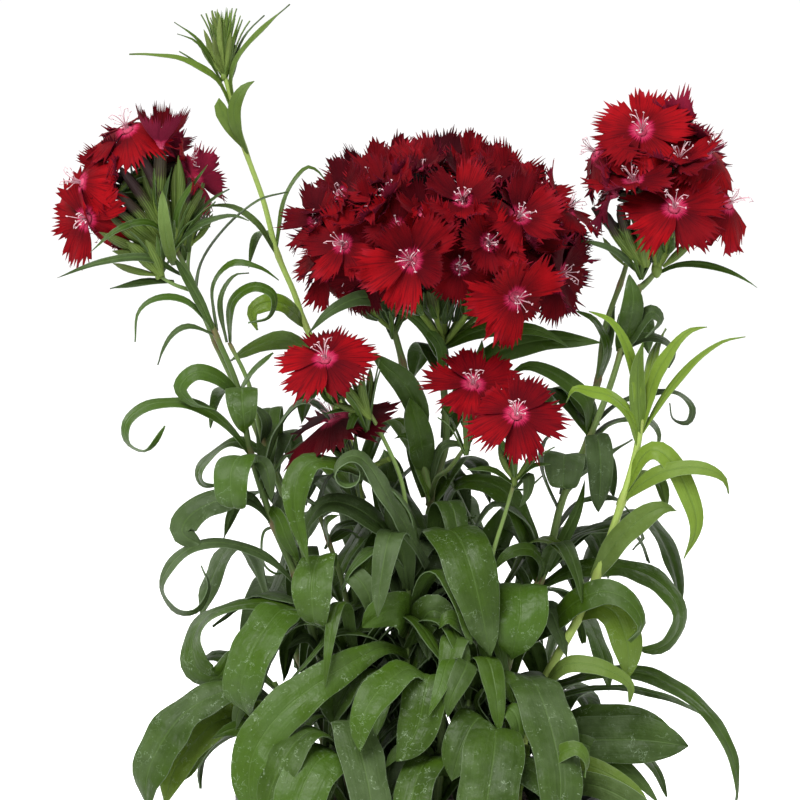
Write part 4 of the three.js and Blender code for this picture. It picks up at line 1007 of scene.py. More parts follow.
@dataclass(frozen=True)
class Calyx:
    """A ribbed calyx on its pedicel, with awl-shaped bracts round its foot."""

    knot: Point  # where its pedicel springs from
    mouth: Point  # the middle of its mouth
    facing: Point  # direction in which it opens
    length: float  # length of the swollen part
    plum: float  # how dark it is towards its mouth

    PEDICEL = 0.9  # radius of the pedicel
    # radii of the swollen part, by shares of its length
    PROFILE = ((0.0, 0.07, 0.22, 0.55, 0.85, 1.0), (0.9, 1.45, 1.85, 2.2, 2.1, 1.9))
    SIDES, RINGS = 15, 14
    BRACTS = 5
    TOOTH = 0.8  # half of the height of the teeth at its mouth

    def _line(self) -> tuple[Spline, float]:
        """Its course, and the share of it at which it swells."""
        knot, mouth, facing = np.array(self.knot, float), np.array(self.mouth, float), unit(self.facing)
        reach = float(np.linalg.norm(mouth - knot))
        length = min(self.length, 0.75 * reach)
        line = Spline((tuple(knot), tuple(mouth - facing * length), tuple(mouth)))
        return line, 1 - length / line.length

    def grow(self, growth: Growth) -> None:
        """Adds the calyx and its bracts to its piece."""
        line, swell = self._line()
        share = np.linspace(0, 1, self.RINGS + 1)
        swollen = (share - swell) / (1 - swell)
        radius = np.where(share < swell, self.PEDICEL, np.interp(swollen, *self.PROFILE))
        look, teeth = (growth.tone(), 0.0, self.plum, growth.youth), self.TOOTH * unit(self.facing)
        growth.tube(line, self.SIDES, radius, look, GreenPart.CALYX, np.clip(swollen, 0, 1), teeth=teeth)
        self._bracts(growth, line, swell)

    def _bracts(self, growth: Growth, line: Spline, swell: float) -> None:
        """Adds the bracts that stand round the calyx.

        Args:
            growth: where it grows.
            line: the calyx's course.
            swell: the share at which it swells.
        """
        share = np.array([swell, min(1.0, swell + 0.35 * (1 - swell)), min(1.0, swell + 0.75 * (1 - swell))])
        headings, sides, rises = line.frames(share)
        places = line.places(share)
        first = growth.dice.uniform(0, TURN)
        for i in range(self.BRACTS):
            angle = first + 2 * math.pi * i / self.BRACTS + growth.around(0, 0.3)
            out = math.cos(angle) * sides + math.sin(angle) * rises
            flare, reach = growth.around(3.6, 1.2), growth.around(1.0, 0.25)
            tip = places[1] + (places[2] - places[1]) * reach + out[2] * (2.2 + flare * 0.7)
            course = (
                tuple(places[0] + out[0] * 0.7 - headings[0] * 0.8),
                tuple(places[0] + (places[1] - places[0]) * 0.5 + out[1] * 2.3),
                tuple(places[1] + out[1] * 2.9),
                tuple(tip),
            )
            Leaf(growth.around(2.1, 0.5), 0, course).grow(growth)


@dataclass(frozen=True)
class Plan:
    """What grows on one stem, in millimetres."""

    stalks: tuple[Stalk, ...]  # the main stalk and its side stalks
    # the leaves and buds of its solid come first, then those that only the visual model has
    leaves: tuple[Leaf, ...]
    buds: tuple[Bud, ...] = ()
    knobs: tuple[Point, ...] = ()  # swollen ends of stalks, with their radius as the fourth number


def read_rows(text: str) -> Iterator[tuple[list[str], tuple[Point, ...]]]:
    """Reads rows written as "head: numbers, numbers, ...; head: ...".

    Args:
        text: the rows.

    Yields:
        The words of a row's head, and its groups of numbers.
    """
    for row in filter(None, text.split(";")):
        head, groups = row.split(":")
        yield head.split(), tuple(tuple(map(float, group.split())) for group in groups.split(","))


def read_plan(stalks: str, leaves: str, buds: str = "", knobs: tuple[Point, ...] = ()) -> Plan:
    """Reads what grows on one stem.

    Args:
        stalks: radii at foot and top: places, a knot with a 1 behind it.
        leaves: width, face and named habits: places from root to tip.
        buds: root: radius, tip and plum of each bud that springs from it.
        knobs: place and radius of each swollen end.

    Returns:
        The plan.
    """
    grown = []
    for (width, face, *habits), points in read_rows(leaves):
        named = {name: float(value) for name, value in (habit.split("=") for habit in habits)}
        grown.append(Leaf(float(width), float(face), points, **named))
    return Plan(
        tuple(Stalk(float(foot), float(top), points) for (foot, top), points in read_rows(stalks)),
        tuple(grown),
        tuple(
            Bud(radius, tuple(map(float, root)), tuple(tip[:3]), *tip[3:])
            for root, rows in read_rows(buds) for radius, *tip in rows
        ),
        knobs,
    )


def arch(
    root: Sequence[float], angle: float, length: float, lift: float, droop: float = 0.42
) -> tuple[Point, ...]:
    """Midrib of a leaf that arches away from a stalk.

    Args:
        root: where it springs from.
        angle: its heading, in radians from +X.
        length: its reach.
        lift: how strongly it rises first.
        droop: how far its tip falls, as a share of its length.

    Returns:
        Five points.
    """
    (x, y, z), rise = root[:3], 0.34 * lift
    fall = -droop * 0.75 + 0.1 * lift
    ways = ((0.0, 0.0), (0.25, rise), (0.55, rise * 1.2), (0.8, rise * 0.6 - 0.05), (0.95, fall))
    cos, sin = math.cos(angle) * length, math.sin(angle) * length
    return tuple((x + out * cos, y + out * sin, z + up * length) for out, up in ways)


# ---------------------------------------------------------------- florets


@dataclass(frozen=True)
class PetalCut:
    """How a petal's sheet is cut and shaped; lengths are shares of the floret's radius."""

    teeth: int = 14  # how many teeth its rim has
    # where its rows of points lie, from the claw to the foot of the teeth
    reaches: tuple[float, ...] = (0.05, 0.15, 0.28, 0.44, 0.58, 0.69, 0.77)
    half_angle: float = 40.5  # half of the angle that it fills, in degrees
    valley: float = 0.815  # foot of the clefts between teeth
    thick: float = 0.32  # its thickness in millimetres

    TIPS = (0.91, 1.06)  # how far its teeth reach
    CLEFTS = (-0.080, 0.040)  # how far its clefts stray from the valley

    def stock(self) -> Stock:
        """The sheet that a petal is bent from."""
        return sheet(len(self.reaches), 2 * self.teeth)

    def reach(self, row: np.ndarray, column: np.ndarray, dice: random.Random) -> np.ndarray:
        """How far out each point of a petal lies.

        Args:
            row: its row, from the claw.
            column: its column; odd ones end in a tooth.
            dice: seeded chance.

        Returns:
            Shares of the floret's radius.
        """
        columns, rows, last = 2 * self.teeth + 1, len(self.reaches), self.reaches[-1]
        a, tooth = np.linspace(-1, 1, columns), np.arange(columns) % 2 == 1
        edge = 1 - 0.10 * a**2 - 0.27 * np.abs(a) ** 7
        tip = np.array([dice.uniform(*self.TIPS) for _ in range(columns)])
        cleft = np.array([dice.uniform(*self.CLEFTS) for _ in range(columns)])
        cleft = self.valley + np.where(cleft > 0.010, 0.080, cleft)
        rim = edge * np.where(tooth, tip, cleft)
        foot = edge * np.where(tooth, last + 0.02, np.minimum(cleft - 0.035, last))
        inner = np.array([*self.reaches, 0.0])[row] * (1 + (edge[column] - 1) * smooth(0, rows - 2, row))
        return np.where(row == rows, rim[column], np.where(row == rows - 1, foot[column], inner))


# for the florets that fill the gaps of the centre head
PLAINER = PetalCut(reaches=(0.05, 0.25, 0.43, 0.57, 0.69, 0.77))


@dataclass(frozen=True)
class Floret:
    """A floret: five toothed petals round an eye with curled styles and stamens."""

    eye: Point  # its middle
    facing: Point  # the way it faces
    radius: float  # its radius to the tips of its teeth
    cup: float  # rise of its rim; below 0 the petals curl back
    spin: float  # turn about its facing, in degrees
    claw: float = 3.0  # depth of its funnel
    unrest: float = 1.0  # how much its petals fold and droop
    painted_shade: float = 0.15  # how far its petals are darkened with painted shade
    threads: int = 7  # how many stamens show

    PETALS = 5
    # chance in how a petal lies: its heading in degrees, its pitch, and how it bends, folds and curls
    HEADING, PITCH, BEND, FOLD, CURL = (-4, 4), (-0.16, 0.14), (-0.55, 0.30), (-0.26, 0.24), (-0.08, 0.07)
    SHADE = (-0.14, 0.16)  # chance in how dark a petal is
    SHADOW, SHADOWED = 0.38, 0.30  # how much darker a petal with a painted shadow is, and the share of them
    THROAT = np.array([0.11, 0.11, 0.05])  # radii of the bead in its eye, in radii of the floret
    ANTHER = np.array([0.24, 0.62, 0.24])  # radii of an anther, in millimetres
    THREAD_SIDES, THREAD_RINGS = 5, 7
    STYLE_RADIUS, STAMEN_RADIUS = 0.21, 0.14
    # out and up along a style, in radii
    STYLE = ((0.0, -0.08), (0.03, 0.18), (0.10, 0.38), (0.19, 0.46), (0.26, 0.40), (0.21, 0.34))

    def _set(self, local: np.ndarray) -> np.ndarray:
        """Points of the floret, in radii with +Z its facing, at their place."""
        turn = Vector((0, 0, 1)).rotation_difference(Vector(self.facing).normalized()).to_matrix()
        return local * self.radius @ np.array(turn).T + np.array(self.eye, float)

    def calyx(self, knot: Point) -> Calyx:
        """The calyx below it, on a pedicel that springs from a knot."""
        way = unit(self.facing)
        return Calyx(knot, tuple(np.array(self.eye, float) - way * (self.claw + 0.5)), tuple(way), 19.0, 0.85)

    def grow(self, growth: Growth, cut: PetalCut) -> None:
        """Adds the floret to its piece.

        Args:
            growth: where it grows.
            cut: how its petals are cut.
        """
        # painted light: a floret with no painted shade gets the brighter, more scarlet tones
        tone = growth.tone() if self.painted_shade > 0.03 else growth.dice.uniform(0.7, 1.0)
        for number in range(self.PETALS):
            self._petal(growth, cut, self.spin + 360 / self.PETALS * number, tone)
        self._throat(growth, tone)
        for number in range(2 if self.threads > 2 else 1):
            self._style(growth, number * math.pi + growth.dice.uniform(-0.7, 0.7))
        for number in range(self.threads):
            self._stamen(growth, 2 * math.pi * (number + growth.dice.random() * 0.7) / self.threads)

    def _petal(self, growth: Growth, cut: PetalCut, angle: float, tone: float) -> None:
        """Adds one petal.

        Args:
            growth: where it grows.
            cut: how it is cut.
            angle: its heading, in degrees.
            tone: the floret's own shade.
        """
        dice, wild = growth.dice, self.unrest
        stock = cut.stock()
        rows, columns = len(cut.reaches), 2 * cut.teeth
        row = np.rint(stock.grid[:, 1] * rows).astype(int)
        column = np.rint((stock.grid[:, 0] + 1) / 2 * columns).astype(int)
        a, under = stock.grid[:, 0], stock.grid[:, 2] > 0.5
        q = cut.reach(row, column, dice)
        jitter = np.array([dice.uniform(-0.5, 0.5) for _ in range(columns + 1)]) / columns
        a_bent = a + np.where(row == rows, jitter[column] * (np.abs(a) < 0.99), 0)
        narrow = 1 - 0.21 * dice.random() ** 1.5 * smooth(0.2, 0.8, q) * min(1.2, wild)
        theta = np.radians(angle + dice.uniform(*self.HEADING) * wild + a_bent * cut.half_angle * narrow)
        pitch = 0.62 * self.cup + dice.uniform(*self.PITCH) * wild
        bend = 0.75 * self.cup + dice.uniform(*self.BEND) * wild + 1e-3
        out, up = np.sin(bend * q) / bend, (1 - np.cos(bend * q)) / bend
        out, up = out * math.cos(pitch) - up * math.sin(pitch), out * math.sin(pitch) + up * math.cos(pitch)
        tooth = column % 2 == 1
        lift = up + dice.uniform(*self.FOLD) * wild * (a**2 - 0.35) * q**2
        lift = lift + 0.075 * a * q + 0.085 * wild * np.sin(2.9 * a + dice.uniform(0, TURN)) * q**3
        lift = lift + 0.06 * wild * np.sin(6.3 * a + dice.uniform(0, TURN)) * q**4
        lift = lift + np.where(tooth, 0.010, -0.010) * q**2
        curl = np.array([dice.uniform(*self.CURL) for _ in range(columns + 1)]) * wild
        lift = lift + np.where(row == rows, curl[column] * np.where(tooth, 1.0, 0.2), 0)
        lift = lift - min(self.claw, 2.2) / self.radius * smooth(0.16, 0.04, q)
        lift = lift - np.where(under, cut.thick * (1 - 0.35 * q) / self.radius, 0)
        points = self._set(np.stack([out * np.cos(theta), out * np.sin(theta), lift], axis=1))
        place = np.stack([(a + 1) / 2, q, under.astype(float), 0 * q], axis=1)
        # painted shade: the floret's own, a chance spread, and a painted shadow on some petals
        dark = self.painted_shade + dice.uniform(*self.SHADE)
        dark += self.SHADOW if dice.random() < self.SHADOWED * wild else 0.0
        look = (tone, min(1.0, max(0.0, dark)), growth.tone(), 0.0)
        growth.piece.add(stock, points, place, look, RedPart.PETAL)

    def _throat(self, growth: Growth, tone: float) -> None:
        """Closes the floret's eye, where its claws meet.

        Args:
            growth: where it grows.
            tone: the floret's own shade.
        """
        stock = bead(1)
        points = self._set(stock.grid * self.THROAT + np.array([0.0, 0.0, -1.1 / self.radius]))
        growth.piece.add(stock, points, (0.5, 0.13, 0.0, 0.0), (tone, self.painted_shade, 0.4, 0.0), RedPart.PETAL)

    def _thread(self, growth: Growth, course: Sequence[Sequence[float]], thick: float) -> np.ndarray:
        """Adds a thread along a course in radii.

        Args:
            growth: where it grows.
            course: its points.
            thick: its radius in millimetres.

        Returns:
            Its tip, in millimetres.
        """
        set_points = self._set(np.array(course, float))
        radius = thick * np.linspace(1.0, 0.6, self.THREAD_RINGS + 1)
        look = (growth.tone(), 0.0, 0.0, 0.0)
        growth.tube(Spline(set_points), self.THREAD_SIDES, radius, look, RedPart.THREAD)
        return set_points[-1]

    def _style(self, growth: Growth, angle: float) -> None:
        """Adds a style that rises from the eye and curls over, heading at an angle in radians."""
        grow = growth.dice.uniform(0.55, 0.95)
        cos, sin = math.cos(angle) * grow, math.sin(angle) * grow
        ways = [(out * cos, out * sin, up * grow) for out, up in self.STYLE]
        self._thread(growth, [(x - 0.12 * y, y + 0.12 * x, z) for x, y, z in ways], self.STYLE_RADIUS)

    def _stamen(self, growth: Growth, angle: float) -> None:
        """Adds a stamen with its anther, heading at an angle in radians."""
        out, top = growth.dice.uniform(0.10, 0.24), growth.dice.uniform(0.16, 0.36)
        cos, sin = math.cos(angle), math.sin(angle)
        ways = ((0.03, -0.08), (0.05, top * 0.4), (out * 0.8, top * 0.8), (out, top))
        course = [(away * cos, away * sin, up) for away, up in ways]
        tip = self._thread(growth, course, self.STAMEN_RADIUS)
        stock = bead(1)
        turn = Matrix.Rotation(growth.dice.uniform(0, TURN), 3, "Z")
        tilt = Matrix.Rotation(growth.around(0.0, 0.9), 3, "X")
        points = (stock.grid * self.ANTHER) @ np.array(turn @ tilt).T + tip
        growth.piece.add(stock, points, (0.0,) * 4, (growth.tone(), 0.0, 1.0, 0.0), RedPart.THREAD)


# ---------------------------------------------------------------- the plan of the plant

# places and radii in millimetres, written as read_plan says; a leaf's young green is partly painted light,
# such as a backlit glow
PLANS = {
    "stem_left": read_plan(
        stalks="""
    1.9 1.05: -24 -12 60, -24 -12 88, -27 -12 108, -29 -13 127, -34 -13 145, -40 -13 165 1, -47 -13 182 1,
    -54 -12 204 1, -58 -12 225, -65 -11 242 1, -72 -10 258, -78 -10 270 1; 1.5 1: -34 -12 146, -36 -4 165,
    -43 2 188, -52 5 208 1, -62 6 229, -66 5 238 1, -72 3 253 1, -76 0 264; 1.2 0.9: -40 -12 166,
    -43 -7 186, -50.5 -5 208 1, -55 -5 226, -61 -6 239 1; 0.8 0.7: -73 -10 256, -78 -13 258, -83 -14 261;
    0.9 0.7: -74.5 1 259, -74 -4 265, -73 -6 271""",
        leaves="""
    3.2 25: -65 -11 243, -74 -14 253, -83 -16 254, -89 -16 250, -91 -15 240; 3.2 25: -65 -10 243,
    -66 -14 257, -60 -17 265, -51 -18 264, -44.5 -17 260; 4.2 35 roll=0: -61 -6 239, -60 -13 252,
    -53 -16 257.5, -46.5 -16 255, -47.5 -16 248, -54 -15 245; 6 40: -57 -12 222, -64 -18 229, -71 -21 231,
    -76 -21 226, -72 -20 221, -65 -19 219; 10 0 roll=1.2: -56 -12 221, -56.5 -21 226, -56 -28 222,
    -55 -30 211; 5.6 28 full=1.7: -54 -12 204, -60 -14 212, -67 -15 218, -76 -16 221, -86 -16 220,
    -93 -16 215, -93 -16 208, -87 -16 205, -80 -16 212; 11.5 0 roll=1.5: -54 -12 201, -57 -21 204.5,
    -59.5 -28 201, -59.5 -30 191, -59.5 -28 183; 9 20 roll=1.2: -50 -5 204, -60 -3 207, -69 -3 201,
    -72 -3 194, -70 -3 188; 10 42 twist=20 peak=0.66: -47 -13 182, -54 -15 190, -63 -16 190, -72 -17 186,
    -76 -17 180, -71 -17 175; 5.2 28 full=1.9: -40 -14 163, -48 -16 171, -58 -17 175.5, -69 -17 176,
    -78 -17 171, -82.5 -17 162, -78 -17 154.5, -71 -17 154.5, -67 -17 161, -69 -17 169; 13 14 twist=48:
    -39 -13 154.5, -49 -10 156, -59 -9 155, -68 -9 152, -73 -9 144, -72 -9 135, -65 -9 132, -61 -9 140;
    16 0 roll=0.4: -39 -14 153, -44 -24 156, -50 -33 150, -55 -38 140, -57 -38 130, -56 -36 122; 8 30:
    -38 -12 156, -50 -4 158, -59 -2 153, -67 -2 147; 6 40: -48 -13 187, -45 -19 184, -42 -21 177,
    -38.5 -20 170; 3.6 30: -72 -10 254, -70 -3 265, -62 0 276, -52 1 284, -42.5 1 287; 2.6 30: -76 -10 261,
    -86 -20 267, -100 -25 266, -114 -25 261; 6 0: -55 5 214, -60 16 222, -66 28 220, -70 36 208; 9 0:
    -48 4 198, -46 16 207, -43 28 205, -40 36 192; 6.5 0: -40 -2 178, -48 10 188, -58 22 186, -66 30 172;
    2.6 20: -65 -11 242, -73 -14 245, -79 -15 242, -84 -15 233; 2.8 30: -62 -6 239, -64 -5 252, -60 -4 260,
    -55 -3 262; 4 30: -57 -12 225, -53 -10 231, -47 -8 236; 5 30: -50.5 -5 207, -49 -8 214, -53 -10 220;
    5 40: -53 -12 203, -49 -18 200, -47 -20 190; 4 30: -31 -13 138, -36 -18 146, -43 -19 143; 2 60:
    -78 -10 268, -80 -17 276, -80 -19 286; 2.6 30: -78 -10 270, -85 -19 278, -95 -24 276, -103 -27 269;
    2.2 30: -78 -10 270, -76 -17 283, -67 -19 296; 2.4 30: -78 -10 270, -70 -14 277, -60 -15 280,
    -54 -15 279; 2.2 30: -78 -10 268, -70 -12 281, -61 -13 289; 3 30: -78 -12 259, -87 -14 259, -98 -16 257;
    4 0 roll=0.8 youth=0.25 full=2.2: -78 -12 264, -79 -22 270, -80 -27 278, -81 -28 289; 3.4 30:
    -66 -12 244, -70 -13.5 253, -75 -14 262, -78.5 -15 269; 1.7 40: -45 -12 181, -50 -9 179, -51 -9 173,
    -50 -9 168, -46 -9 165, -41 -9 167""",
        buds="""
    -83 -14 261: 1.5 -97 -17 265, 1.5 -92 -15 272; -82 -14 260: 1.5 -87 -18 270; -73 -6 271: 1.5 -73 -8 284,
    1.4 -69 -7 282; -78 -10 270: 2.4 -88 -17 296, 2.4 -77 -18 296, 2.2 -68 -16 290; -73 -6 270:
    1.3 -66 -5 280; -81 -13 260: 1.3 -83 -15 270; -74 -5 268: 1.3 -72 2 278; -79 -11 270:
    2.3 -88 -20 300 0.95, 2.3 -94 -20 295 0.95; -80 -12 269: 2.2 -96 -18 288 0.9; -80 -12 268:
    2.2 -99 -17 284.5 0.9; -78 -11 270: 2.2 -76 -20 299 0.15; -77 -10 270: 2.2 -72 -17 291 0.95;
    -82 -15 261: 2.7 -92.5 -19 272 0.1; -81.5 -15 261: 2.6 -86.5 -19 272.5 0.1; -81 -12 267:
    2.1 -98 -18 280 0.6; -81 -12 266: 2.1 -101 -20 275; -81 -12 265: 1.9 -97 -19 269 0.2; -75 -7 270:
    1.9 -68 -10 286 0.5""",
        knobs=((-78, -10, 270, 3.6), (-83, -14, 261, 2), (-73, -6, 271, 2)),
    ),
    "stem_tall": read_plan(
        stalks="""
    1.8 1.05: -10 12 60, -10 12 88, -12 12 130, -17 13 172 1, -20 14 190, -25 15 213 1, -31 16 229,
    -37.5 17 243 1, -41 18 253, -46.5 19 266 1, -51 20 283, -57 20 300 1, -61 20 315 1, -63.5 20 324""",
        leaves="""
    4.6 65 youth=0.3 peak=0.6: -56 19 298, -59.3 17 306, -60 16.5 313, -57 16 319, -53.5 16 321.5;
    2.9 40 roll=0 youth=0.38: -60.2 19.2 310.5, -64.4 18.7 320.5, -70 17 325.5, -77.3 16 328.8,
    -85.5 15 330, -93.5 14 330.5; 3 40 roll=0 youth=0.38: -59.7 19.3 311, -61.4 18.6 321, -59.7 17 328,
    -55.5 16 333.7, -48.4 14.5 340.6, -42 13 346; 2.6 30: -47 19 267, -44 17 284, -38 16 293, -34 16 293.5,
    -29.5 16 290; 2.4 35: -47 19 266, -52 15 275, -60 14 281, -70 14 282; 6.5 40 roll=0 youth=0.5:
    -38 17 243, -43 9 249.5, -49 5 251, -54 4 248, -52.5 4 242; 7.6 60: -34 17 234, -44 20 237.5,
    -52 22 236, -62 22 231; 9 0: -26 15 214, -30 26 224, -36 38 222, -40 46 208; 9 10: -19 14 186,
    -28 22 196, -34 32 194, -38 38 181; 4 0: -46 19 265, -50 28 272, -54 36 270, -57 41 260; 9 20:
    -14 13 150, -22 17 163, -30 20 165, -38 22 158; 12 20 roll=0.5: -12 12 128, -20 3 138, -29 0 133,
    -32 0 119; 12 20: -11 12 104, -19 0 113, -26 -2 107, -29 -2 96; 4.6 65 youth=0.35 full=2 peak=0.6:
    -56.5 20 299, -61 18 306, -64.3 17 312, -65 17 316; 1.6 30: -62 20 321, -58 22 334, -51 23 343; 1.5 30:
    -64 20 323, -71 18 334, -79 17 340.5; 1.4 30: -64 20 321, -71 16 333, -78 15 337; 1.4 30: -64 20 321,
    -72 24 327, -78 26 331; 1.8 0: -62 21 320, -60 30 328, -60 38 333""",
        buds="""
    -63.3 20 323: 1.3 -71.4 19 334, 1.3 -69.6 14 338, 1.3 -68.5 23 341, 1.3 -67.3 16 344,
    1.3 -65.6 22 344.5, 1.3 -64.4 14 343, 1.3 -62.7 19 343, 1.3 -60.9 15 337, 1.3 -69.6 29 334,
    1.3 -62.7 28 338, 1.3 -61.8 23 340, 1.3 -66.8 29 338, 1.3 -66.2 10 336, 1.3 -59.8 22 333""",
        knobs=((-63.5, 20, 323, 2.2),),
    ),
    "stem_centre": read_plan(
        stalks="""
    2.3 1.5: 4 4 60, 4 4 88, 4 3 130 1, 3.5 2 181, 3 1 190 1, 8 1 206, 7 1 229 1, 7.5 1 240; 1.7 1.4:
    3 1 190, -1 -3 207, -3 -4 220, -6 -4 233 1, -9 -3 244; 1.1 0.9: 3 1 188, 5 -10 196, 9 -23 201,
    14 -31 209""",
        leaves="""
    6 20: 7 1 230, 4 8 240, -4 12 249; 8 35: 7 0 227, 18 -4 232, 27 -6 237, 40 -8 240, 57 -9 240; 5 35:
    7.5 0 237, 19 -8 243, 33 -12 244, 41 -13 242, 47 -13 239; 8 60: -1 -3 208, -1 -9 217, -5 -11 226,
    -11 -12 232, -16 -12 237; 9 0: 1 -1 197, 0 -10 208, -2 -13 216, -3.5 -13 222; 17 0 roll=0.2: 3.5 1 169,
    6 -13 179, 11 -28 180.5, 15 -37 172, 18.5 -41 159, 22 -41 144; 8 30: 3 1 174, -5 -6 181, -11 -9 178,
    -16 -11 171, -20 -12 163, -22 -12 155; 6 30: 4 1 170, 0 -14 178, -7 -17 173, -12 -18 166, -14 -18 158,
    -12 -18 150; 9 25: 3 2 171, -2 6 182, -8 10 190, -15 12 193; 8 20: 4 3 165, -6 8 175, -15 4 180,
    -26 4 179, -32 4 172; 10 20: 4 2 150, 12 -8 162, 3 -14 168, -6 -15 165; 9 0: 8 1 208, 12 13 218,
    15 25 215, 17 32 203; 9 0: 7 1 228, 4 13 236, 0 24 234, -3 32 224; 10 0: 3 2 186, 10 14 198, 18 24 197,
    24 30 184; 6 40: 7 1 215, 14 -6 224, 18 -8 232, 20 -8 240; 12 10: 4 3 128, -3 -7 137, -11 -8 132,
    -15 -8 119; 13 10: 4 3 126, 14 -8 134, 19 -11 127, 21 -11 114; 4 35: 7 0 229, 6 -7 238, 0 -9 245,
    -7 -10 249; 4 35: 1 -1 199, -1 -9 207, -5 -12 210, -8.5 -13 209; 4 35: 3 0 193, 6 -6 205, 11 -8 207,
    16 -9 205; 5 40: -9 -3 243, -12 -13 252, -19 -22 254.5, -28 -26 251, -36 -27 244; 4 40: 7 0 232,
    2 -9 243, -5 -12 249, -11 -12 250; 9 0: 2 5 188, 0 7 203, -2 10 214, -3 14 221; 13 0: -2 8 160,
    -8 12 180, -11 17 195, -12 24 201; 12 0: 4 8 155, 9 14 176, 12 20 190, 13 28 197; 12 0: -6 8 150,
    -18 12 168, -24 16 182, -27 22 190; 11 0: 8 8 150, 20 12 165, 27 16 178, 31 23 184""",
        knobs=((14, -31, 209, 2),),
    ),
    "stem_right": read_plan(
        stalks="""
    2.2 1.2: 24 -1 60, 24 -1 88, 25 -1 121, 27.5 -1 134 1, 38 -1 161 1, 41 -1 169, 45.5 0 188, 54 0 208 1,
    60 0 223, 64 0 236 1, 68 0 250, 70 0 257 1; 1.4 1.1: 54 0 208, 54 4 217, 57 6 226 1, 59 7 242,
    64 6 257 1, 66 4 264; 1.3 1.1: 70 0 256, 73 -1 259, 75 -2 262""",
        leaves="""
    2.4 40: 75 -1 260.5, 81 -4 263.5, 88 -6 264, 97 -7 262, 107 -8 257.5; 2.4 30: 70.5 -0.5 260, 62 -8 268,
    54 -9 271, 48 -9 271.5; 8 0: 64 0 236, 66 -8 245, 67 -11 253, 66 -9 261; 6 35: 64 0 235, 69 -6 245,
    73 -8 249, 76 -8 246, 72 -8 240; 5 35: 64 0 236, 72 2 240, 78 2 239, 81 2 235, 79.5 2 230; 5 30:
    57 6 225, 60 3 236, 56 1 245, 50 0 249; 6 35: 54 0 210, 53 -5 220, 47 -7 226, 41 -8 230, 34 -8 232,
    28 -8 230; 9 0: 54 0 208, 56 -8 209, 57 -11 200, 56.5 -9 185; 4 30 full=1.7: 54 0 211, 61 4 217,
    68 5 220.5, 76 6 222, 83 6 221.5, 87.5 6 217, 86 6 212, 81 6 213, 79.5 6 218; 6 30: 54 0 207,
    60 5 211.5, 67 6 213.5, 73 6 213, 77 6 208, 76 6 202; 13 0 roll=1.6: 46 0 192, 46 -12 203, 45 -22 204,
    44.5 -27 197, 44 -26 189; 5 30: 45 0 187, 49 4 193, 55 6 198, 62 6 203, 68 6 207; 5 30: 43 0 178,
    50 4 186, 58 5 188, 64 5 187, 68 5 183; 7 30: 41 0 168, 50 6 175, 58 8 177, 66 9 178, 72 9 175,
    69 9 170; 6 30: 41 0 165, 54 15 176, 66 20 178, 72 21 172, 75 21 165; 6 30: 44 0 184, 39 4 196,
    39 4 205, 43 4 211; 9 35: 38 -1 162, 34 -1 178, 28 2 189, 19 7 193, 11 9 191, 8 9 185, 12 9 180,
    18 9 181; 5 35: 38 -1 161, 39 -6 168, 35 -9 173, 28 -10 172, 22 -10 166; 9 30: 35 -1 143, 41 -10 149,
    49 -23 158.5, 57.5 -28 162.5, 65.5 -30 159.5, 70 -30 152.5, 67 -29 146.5; 18 0 roll=0.6: 36 -1 154,
    33 -14 162, 31 -26 163, 31 -34 156, 29 -37 147, 28 -36 140; 10 20: 38 -1 160, 46 6 157, 51 7 149,
    53 7 140; 16.5 0: 28 -2 126, 31 -16 134, 35.5 -34 134, 40 -48 123, 42.5 -57 110, 42 -62 98, 40 -64 83;
    9.5 40: 39 0 160, 50 2 165, 65 2 165.5, 75 2 162, 82 2 155, 83.5 2 147, 79.5 2 140.5, 73 2 138,
    68 2 139.5; 10 0: 46 1 190, 52 14 200, 59 26 198, 64 33 184; 9 0: 54.5 0 209, 47 12 221, 42 23 220,
    38 30 209; 9 0: 64 1 236, 68 12 246, 72 22 244, 75 29 233; 11 0: 40 0 166, 48 14 176, 57 27 173,
    63 34 158; 4 30: 57 6 227, 60.5 11 238, 63 13 249; 6 30: 41 0 166, 55 11 177, 66 15 178, 72 16 172,
    75 16 165; 4 30: 41 -1 165, 45 -4 174, 50 -5 185, 53 -5 195; 9 0: 56 1 212, 50 12 222, 44 23 220,
    40 30 209""",
        buds="""
    66 4 264: 1.4 61 5 277, 1.4 66 8 278; 65 4 263: 1.3 58 2 272; 71 -3 263: 2.2 54 -9 282 0.95,
    2.2 57 -13 282 0.95; 71 -4 263: 2.1 62 -15 283 0.9; 72 -4 263: 2.1 66 -15 282 0.7; 71 -6 263:
    2 69 -13 274 0; 77 -4 263: 1.8 86 -9 272 0.1""",
        knobs=((75, -2, 262, 3.6), (66, 4, 264, 2.2)),
    ),
    "shoot_right": read_plan(
        stalks="""
    2.2 1.5: 30 -20 60, 30 -20 88, 32 -19 111, 38 -18 130 1, 51 -16 154 1, 56 -15 166 1, 64 -14 190 1,
    68 -13 204, 69.5 -13 214 1, 70 -13 220""",
